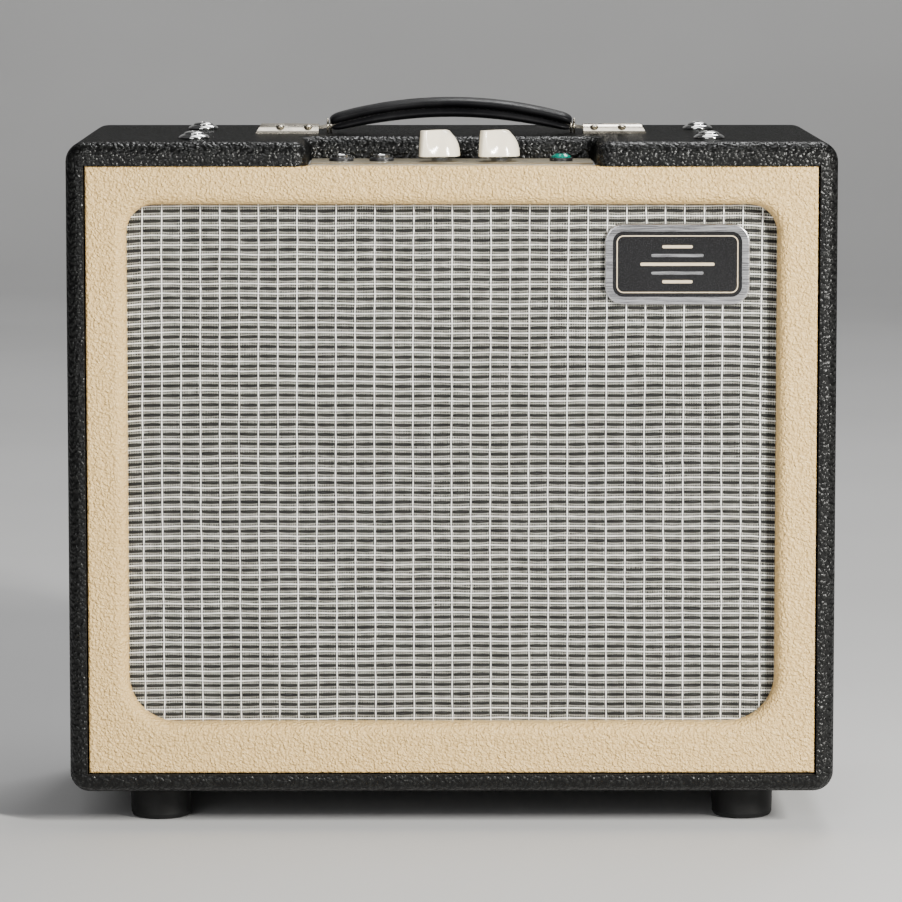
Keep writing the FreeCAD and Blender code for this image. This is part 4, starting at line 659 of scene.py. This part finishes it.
def badge():
    """A plain plate: black field in a silver rim, with a cream keyline and bars."""
    low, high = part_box("name_badge")
    centre = (low + high) / 2
    half_x, half_z = (high.x - low.x) / 2, (high.z - low.z) / 2
    rim, sunk = 4.5 * MM, 0.8 * MM
    floor = low.y + sunk
    corner = 6.2 * MM
    field = rounded_outline(half_x - rim - 0.15 * MM, half_z - rim - 0.15 * MM, corner)
    depth = 0.35 * MM
    count = len(field)
    points = [(centre.x + x, floor, centre.z + z) for x, z in field]
    points += [(centre.x + x, floor - depth, centre.z + z) for x, z in field]
    faces = [tuple(range(count)), tuple(range(2 * count - 1, count - 1, -1))]
    faces += [(i, (i + 1) % count, count + (i + 1) % count, count + i) for i in range(count)]
    piece("badge_field", points, faces, "badge_black", "cabinet", smooth=False)
    face = floor - depth
    inset = rim + 2.4 * MM
    frame_strip("badge_keyline",
                rounded_outline(half_x - inset, half_z - inset, corner - 2 * MM),
                rounded_outline(half_x - inset - 0.6 * MM, half_z - inset - 0.6 * MM,
                                corner - 2.6 * MM),
                centre, face, 0.12 * MM, "badge_cream")
    for i in range(5):
        half = (22 - 6.5 * abs(i - 2)) * MM
        z = (i - 2) * 5.2 * MM
        bar = rounded_outline(half, 0.9 * MM, 0.85 * MM, 4)
        points = [(centre.x + x, face, centre.z + z + v) for x, v in bar]
        points += [(centre.x + x, face - 0.3 * MM, centre.z + z + v) for x, v in bar]
        count = len(bar)
        faces = [tuple(range(count)), tuple(range(2 * count - 1, count - 1, -1))]
        faces += [(k, (k + 1) % count, count + (k + 1) % count, count + k)
                  for k in range(count)]
        piece(f"badge_bar_{i}", points, faces, "silver_metal" if i % 2 else "badge_cream",
              "cabinet", smooth=False)


# ---------------------------------------------------------------- handle


def roll(angle, centre, wide, tall):
    """How far a flat oval around a raised centre reaches from the middle, at an angle."""
    side, up = math.cos(angle), math.sin(angle)
    a = (side / wide) ** 2 + (up / tall) ** 2
    b = -2 * up * centre / tall**2
    c = (centre / tall) ** 2 - 1
    return (-b + math.sqrt(b * b - 4 * a * c)) / (2 * a)


def handle_grip():
    """The covered grip: a fat upper roll over a thinner one, tucked in at both ends."""
    low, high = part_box("handle_grip")
    centre_y = (low.y + high.y) / 2
    half = high.x - 1.8 * MM
    rise = 10.6 * MM
    mid_height = high.z - 6.6 * MM
    arc = (half**2 + rise**2) / (2 * rise)
    sweep = math.asin(half / arc)
    around, rings = 120, 96
    section = []
    for k in range(around):
        u = 2 * math.pi * k / around
        upper = roll(u, 3.3, 11.6, 3.4)
        lower = roll(u, -2.7, 10.9, 2.9)
        reach = (upper**14 + lower**14) ** (1 / 14)
        section.append((reach * math.cos(u) * MM, reach * math.sin(u) * MM))
    points = []
    for r in range(rings + 1):
        t = math.sin(math.pi / 2 * (-1 + 2 * r / rings))
        a = t * sweep
        ends = min(1.0, (1 - abs(t)) / 0.09)
        tuck = 0.60 + 0.40 * math.sqrt(max(0.0, 1 - (1 - ends) ** 2))
        thin = 1 - 0.30 * abs(t) ** 3
        for y, h in section:
            lift = h * (tuck if h > 0 else tuck * thin)
            radius = arc + lift
            points.append((radius * math.sin(a), centre_y + y * tuck,
                           mid_height - arc + radius * math.cos(a)))
    faces = quads(rings + 1, around).tolist()
    faces.append(list(range(around))[::-1])
    faces.append(list(range(rings * around, (rings + 1) * around)))
    grip = piece("grip_cover", points, faces, "handle_black", "grip")
    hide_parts("handle_grip")
    stitches(section, arc, mid_height, centre_y, sweep)
    end_height = mid_height - rise
    ring_sizes = ((0.4, 5.6, 4.3), (2.4, 5.4, 4.5))
    for side, sign in (("left", -1), ("right", 1)):
        for i, (reach, wide, tall) in enumerate(ring_sizes):
            ring(f"grip_ring_{side}_{i}", (sign * (half + reach * MM), centre_y,
                                           end_height - (0.2 + 0.3 * i) * MM),
                 wide * MM, tall * MM, 0.6 * MM)


def ring(name, centre, wide, tall, thick, around=40, section=10):
    """An oval wire ring that stands across X."""
    points = []
    for i in range(around):
        a = 2 * math.pi * i / around
        for k in range(section):
            b = 2 * math.pi * k / section
            out = thick * math.cos(b)
            points.append((centre[0] + thick * math.sin(b),
                           centre[1] + (wide + out) * math.cos(a),
                           centre[2] + (tall + out) * math.sin(a)))
    faces = [(i * section + k, i * section + (k + 1) % section,
              (i + 1) % around * section + (k + 1) % section, (i + 1) % around * section + k)
             for i in range(around) for k in range(section)]
    return piece(name, points, faces, "nickel", "grip")


def stitches(section, arc, mid_height, centre_y, sweep):
    """A row of stitches in the grip's groove, front and back."""
    waist = min((p for p in section if p[0] > 0), key=lambda p: p[0] if abs(p[1]) < 2 * MM else 1)
    count, thread_radius = 46, 0.3 * MM
    points, faces = [], []
    for side in (-1, 1):
        for i in range(count):
            a = (-0.93 + 1.86 * i / (count - 1)) * sweep
            for along, out in ((-1.0, 0.0), (-0.6, 0.35), (0.6, 0.35), (1.0, 0.0)):
                for k in range(6):
                    b = math.pi / 3 * k
                    radius = arc + waist[1] + thread_radius * math.sin(b)
                    turn = a + along * MM / arc
                    y = side * (waist[0] + (out - 0.1) * MM + thread_radius * math.cos(b))
                    points.append((radius * math.sin(turn), centre_y + y,
                                   mid_height - arc + radius * math.cos(turn)))
            start = len(points) - 24
            faces += (quads(4, 6) + start).tolist()
            faces.append(list(range(start, start + 6)))
            faces.append(list(range(start + 18, start + 24)))
    piece("grip_stitches", points, faces, "cable_black", "grip")


# ---------------------------------------------------------------- bolts and cap screws


def domed_screw(name, place, head, edge, crown, shank, long, cross, material):
    """A round-headed screw with a pressed cross; sizes are in millimetres, head up.

    cross is the reach of the cross's arms, as a share of the head's radius.
    """
    arm, sunk = 0.11 * head, 0.3 * crown
    profile = [(0.0, -long), (shank, -long), (shank, 0.0), (head, 0.0), (head, edge)]
    steps, around = 30, 96
    for i in range(1, steps + 1):
        a = math.pi / 2 * i / steps
        profile.append((head * math.cos(a), edge + (crown - edge) * math.sin(a)))
    points = []
    for reach, height in profile:
        for k in range(around):
            a = 2 * math.pi * (k + 0.5) / around
            x, y = reach * math.cos(a), reach * math.sin(a)
            near, far = sorted((abs(x), abs(y)))
            pressed = height > edge and near < arm and far < cross * head
            points.append(Vector(place) + Vector((x, y, height - sunk * pressed)) * MM)
    faces = quads(len(profile), around).tolist()
    faces.append(list(range(around))[::-1])
    faces.append(list(range(len(points) - around, len(points))))
    return piece(name, points, faces, material, "cabinet")


def bolts_and_cups():
    """Four chassis bolts, each sunk in a rolled cup washer."""
    low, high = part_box("cup_washers")
    bolt_low, bolt_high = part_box("chassis_bolts")
    reach = 9.25 * MM
    head = 6.1
    cup = (high.z - low.z) / MM
    crown = (bolt_high.z - high.z) / MM
    long = (low.z - bolt_low.z) / MM + cup
    rolled = [(2.8, 0.0), (9.0, 0.0), (9.25, 0.3), (9.25, 0.8), (9.05, 1.15), (8.7, 1.5),
              (8.2, 0.70 * cup), (7.6, 0.84 * cup), (7.0, 0.95 * cup), (6.5, cup),
              (6.3, 0.94 * cup), (6.0, 0.8 * cup), (2.8, 0.6)]
    for i, x in enumerate((low.x + reach, high.x - reach)):
        for k, y in enumerate((low.y + reach, high.y - reach)):
            washer = lathe(f"cup_{i}{k}", [(r * MM, h * MM) for r, h in rolled],
                           (x, y, low.z), (0, 0, 1), "chrome", "cabinet", 96)
            bolt = domed_screw(f"bolt_{i}{k}", (x, y, high.z - 0.1 * MM), head, 0.35,
                               crown + 0.1, 2.5, long, 0.5, "chrome")
            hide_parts("cup_washers")
            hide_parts("chassis_bolts")


def cap_screws():
    """Eight small screws, two along each flank of both end caps."""
    low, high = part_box("handle_screws")
    head, crown, pitch = 2.5, 1.5, 17 * MM
    long = (high.z - low.z) / MM - crown
    outer = high.x - head * MM
    for i, x in enumerate((-outer, -outer + pitch, outer - pitch, outer)):
        for k, y in enumerate((low.y + head * MM, high.y - head * MM)):
            screw = domed_screw(f"cap_screw_{i}{k}", (x, y, high.z - crown * MM), head, 0.4,
                                crown, 1.2, long, 0.55, "nickel")
            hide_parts("handle_screws")


# ---------------------------------------------------------------- knobs


def knob_reach(angle, share):
    """Radius of a pointer knob in millimetres, at an angle from its beak and a height share."""
    base, beak, fin_half, tip = 10.9, 19.2, 2.3, 2.0
    rounding = math.sqrt(max(0.0, 1 - share**2.2))
    dome = base * rounding
    side, ahead = abs(math.sin(angle)), math.cos(angle)
    flank = 10.2 * (1 - share**1.3) + fin_half
    reach = beak - 1.9 * share
    if ahead > 0.02:
        wedge = flank * beak / (side * beak + ahead * (flank - tip))
        cap = reach / ahead
        fin = (wedge**-16 + cap**-16) ** (-1 / 16)
    else:
        back = 1.5 + 9.2 * rounding
        fin = (max(side / fin_half, 1e-3) ** 16 + max(-ahead / back, 1e-3) ** 16) ** (-1 / 16)
    return (dome**10 + fin**10) ** (1 / 10)


def pointer_knob(name, body, origin, axis, beak):
    """A glossy pointer knob with its base at the origin, its top along the axis."""
    axis, beak = Vector(axis), Vector(beak).normalized()
    across = axis.cross(beak)
    height, edge, around = 15.7, 0.7, 120
    levels = [(0.0, 0.4), (0.12, 0.12), (0.4, 0.0)]
    levels += [(0.4 + (height - edge - 0.4) * i / 34, 0.0) for i in range(1, 35)]
    levels += [(height - edge + edge * math.sin(a), edge * (1 - math.cos(a)))
               for a in (math.pi / 2 * i / 6 for i in range(1, 7))]
    points = []
    for level, inset in levels:
        for k in range(around):
            a = 2 * math.pi * k / around
            reach = max(knob_reach(a, level / height) - inset, 0.3)
            points.append(Vector(origin) + (axis * level + beak * (reach * math.cos(a))
                                            + across * (reach * math.sin(a))) * MM)
    top = len(points) - around
    points.append(Vector(origin) + axis * (height + 0.05) * MM)
    faces = quads(len(levels), around).tolist()
    faces.append(list(range(around))[::-1])
    faces += [(top + k, top + (k + 1) % around, len(points) - 1) for k in range(around)]
    return piece(name, points, faces, "ivory_plastic", body)


def knobs():
    """The two front knobs, each on the body that turns with its shaft."""
    pointing = math.radians(228)
    beak = Vector((math.cos(pointing), math.sin(pointing), 0))
    for name, body in (("volume", "volume_control"), ("tone", "tone_control")):
        shaft_low, shaft_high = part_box(f"{name}_shaft")
        centre = (shaft_low + shaft_high) / 2
        knob_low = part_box(f"{name}_knob")[0].z
        made = pointer_knob(f"{name}_pointer", body, (centre.x, centre.y, knob_low),
                            (0, 0, 1), beak)
        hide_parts(f"{name}_knob")


# ---------------------------------------------------------------- inside the back


def block(name, low, high, material, bevel=0.8):
    """A softened block on the cabinet, between two corners in metres."""
    corners = [(x, y, z) for x in (low[0], high[0]) for y in (low[1], high[1])
               for z in (low[2], high[2])]
    faces = [(0, 1, 3, 2), (4, 6, 7, 5), (0, 4, 5, 1), (2, 3, 7, 6), (0, 2, 6, 4), (1, 5, 7, 3)]
    made = piece(name, corners, faces, material, "cabinet", smooth=False)
    soft = made.modifiers.new("soft_edge", "BEVEL")
    soft.width = bevel * MM
    soft.segments = 3
    return made


def valve_insides():
    """Anode, mica discs and getter flash inside each valve's glass."""
    low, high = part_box("power_tube")
    whole = [("power", (low.x + high.x) / 2, (high.x - low.x) / 2)]
    low2, high2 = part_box("preamp_tubes")
    radius = (high2.y - low2.y) / 2
    whole += [("preamp_one", low2.x + radius, radius), ("preamp_two", high2.x - radius, radius)]
    for name, x, wide in whole:
        box_low, box_high = (low, high) if name == "power" else (low2, high2)
        y = (box_low.y + box_high.y) / 2
        length = box_high.z - box_low.z
        top = box_high.z
        outer = wide * 0.66
        profile = [(outer * 0.4, -0.18 * length)]
        for i in range(9):
            z = -(0.20 + 0.52 * i / 8) * length
            profile.append((outer * (1.0 if i % 4 else 1.05), z))
        profile.append((outer * 0.4, -0.745 * length))
        lathe(f"{name}_anode", profile, (x, y, top), (0, 0, 1), "anode_grey", "cabinet")
        for i, share in enumerate((0.165, 0.77)):
            lathe(f"{name}_mica_{i}", [(wide * 0.3, -share * length),
                                       (wide * 0.85, -share * length),
                                       (wide * 0.85, -share * length - 0.5 * MM),
                                       (wide * 0.3, -share * length - 0.5 * MM)],
                  (x, y, top), (0, 0, 1), "socket_white", "cabinet")
        flash = []
        for i in range(9):
            a = math.pi / 2 * i / 8 * 0.8
            flash.append((wide * 0.74 * math.cos(a) + 0.3 * MM,
                          -length * 0.845 - wide * 0.36 * math.sin(a)))
        lathe(f"{name}_getter", flash, (x, y, top), (0, 0, 1), "getter_silver", "cabinet")


def transformer_windings():
    """Paper-wrapped windings that show on both sides of each transformer's core."""
    for name in ("power_transformer", "output_transformer"):
        low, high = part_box(name)
        size = high - low
        mid = (low + high) / 2
        for side in (-1, 1):
            y = sorted((mid.y + side * size.y * 0.30, mid.y + side * (size.y / 2 + 0.4 * MM)))
            block(f"{name}_winding_{side + 1}",
                  (mid.x - size.x * 0.3 - 0.4 * MM, y[0], low.z + size.z * 0.16 - 0.4 * MM),
                  (mid.x + size.x * 0.3 + 0.4 * MM, y[1], high.z - size.z * 0.16 + 0.4 * MM),
                  "winding_paper", 2.5)
        for i in range(4):
            sx, sz = (-1, 1)[i % 2], (-1, 1)[i // 2]
            centre = (mid.x + sx * size.x * 0.43, mid.y + size.y * 0.3,
                      mid.z + sz * size.z * 0.43)
            lathe(f"{name}_bolt_{i}", [(0, 2.4 * MM), (2.2 * MM, 2.4 * MM), (3.0 * MM, 1.8 * MM),
                                       (3.0 * MM, 0), (0, 0)], centre, (0, 1, 0),
                  "screw_steel", "cabinet", 6)


# ---------------------------------------------------------------- stage


def stage():
    """A plain floor that curves up into a wall, far enough back for the other views."""
    floor_z = cad_box[0][2]
    size, bend_y, bend, wall_top, steps = 14.0, 4.0, 1.5, 6.0, 12
    points, faces = [], []
    profile = [(-size, floor_z), (bend_y, floor_z)]
    for i in range(1, steps + 1):
        a = math.pi / 2 * i / steps
        profile.append((bend_y + bend * math.sin(a), floor_z + bend * (1 - math.cos(a))))
    profile.append((bend_y + bend, wall_top))
    for y, z in profile:
        points += [(-size, y, z), (size, y, z)]
    for i in range(len(profile) - 1):
        faces.append((2 * i, 2 * i + 1, 2 * i + 3, 2 * i + 2))
    mesh = bpy.data.meshes.new("studio_floor")
    mesh.from_pydata(points, [], faces)
    mesh.polygons.foreach_set("use_smooth", [True] * len(mesh.polygons))
    floor = bpy.data.objects.new("studio_floor", mesh)
    bpy.context.scene.collection.objects.link(floor)
    s = Surface("studio_floor", (0.6, 0.6, 0.6), 0.6)
    s.tint((0.60, 0.60, 0.60), (0.56, 0.56, 0.56), 1.2)
    floor.data.materials.append(s.material)


def light(name, place, target, size, power, color=(1, 1, 1)):
    """A rectangular lamp at a place, turned towards a target."""
    data = bpy.data.lights.new(name, "AREA")
    data.shape = "RECTANGLE"
    data.size, data.size_y = size
    data.energy = power
    data.color = color
    lamp = bpy.data.objects.new(name, data)
    lamp.location = place
    aim = Vector(target) - Vector(place)
    lamp.rotation_euler = aim.to_track_quat("-Z", "Y").to_euler()
    bpy.context.scene.collection.objects.link(lamp)


def lights():
    light("key", (1.45, -1.75, 1.15), (0.05, -0.1, 0.2), (0.18, 0.7), 136, (1, 0.98, 0.93))
    light("front", (-0.9, -2.8, 1.1), (0, -0.1, 0.2), (1.4, 1.2), 36)
    light("top", (0.1, 0.1, 1.7), (0, 0, 0.3), (1.0, 0.6), 7)
    light("rear", (0.5, 1.7, 2.4), (0, 0, 0.3), (1.0, 0.7), 34)
    light("backdrop", (0, 2.4, 3.0), (0, 5.6, 1.0), (3.0, 1.0), 46)
    world = bpy.data.worlds.new("studio")
    world.use_nodes = True
    sky = world.node_tree.nodes["Background"]
    sky.inputs["Color"].default_value = (0.92, 0.93, 0.95, 1)
    sky.inputs["Strength"].default_value = 0.10
    bpy.context.scene.world = world


def main_camera():
    """A long lens a little left of the middle, placed from the CAD box and pitched down."""
    aside, back, up = -0.016, 2.941, 0.5491
    pitch, yaw = 6.235, -0.3
    data = bpy.data.cameras.new("camera")
    data.sensor_width = 36.0
    data.lens = 199.0
    data.clip_end = 50
    camera = bpy.data.objects.new("camera", data)
    camera.location = (aside, cad_box[0][1] - back, cad_box[0][2] + up)
    camera.rotation_euler = (math.radians(90 - pitch), 0, math.radians(yaw))
    bpy.context.scene.collection.objects.link(camera)
    bpy.context.scene.camera = camera


stage()
lights()
main_camera()
dress_cad_nodes()
grille_cloth()
badge()
handle_grip()
knobs()
bolts_and_cups()
cap_screws()
valve_insides()
transformer_windings()
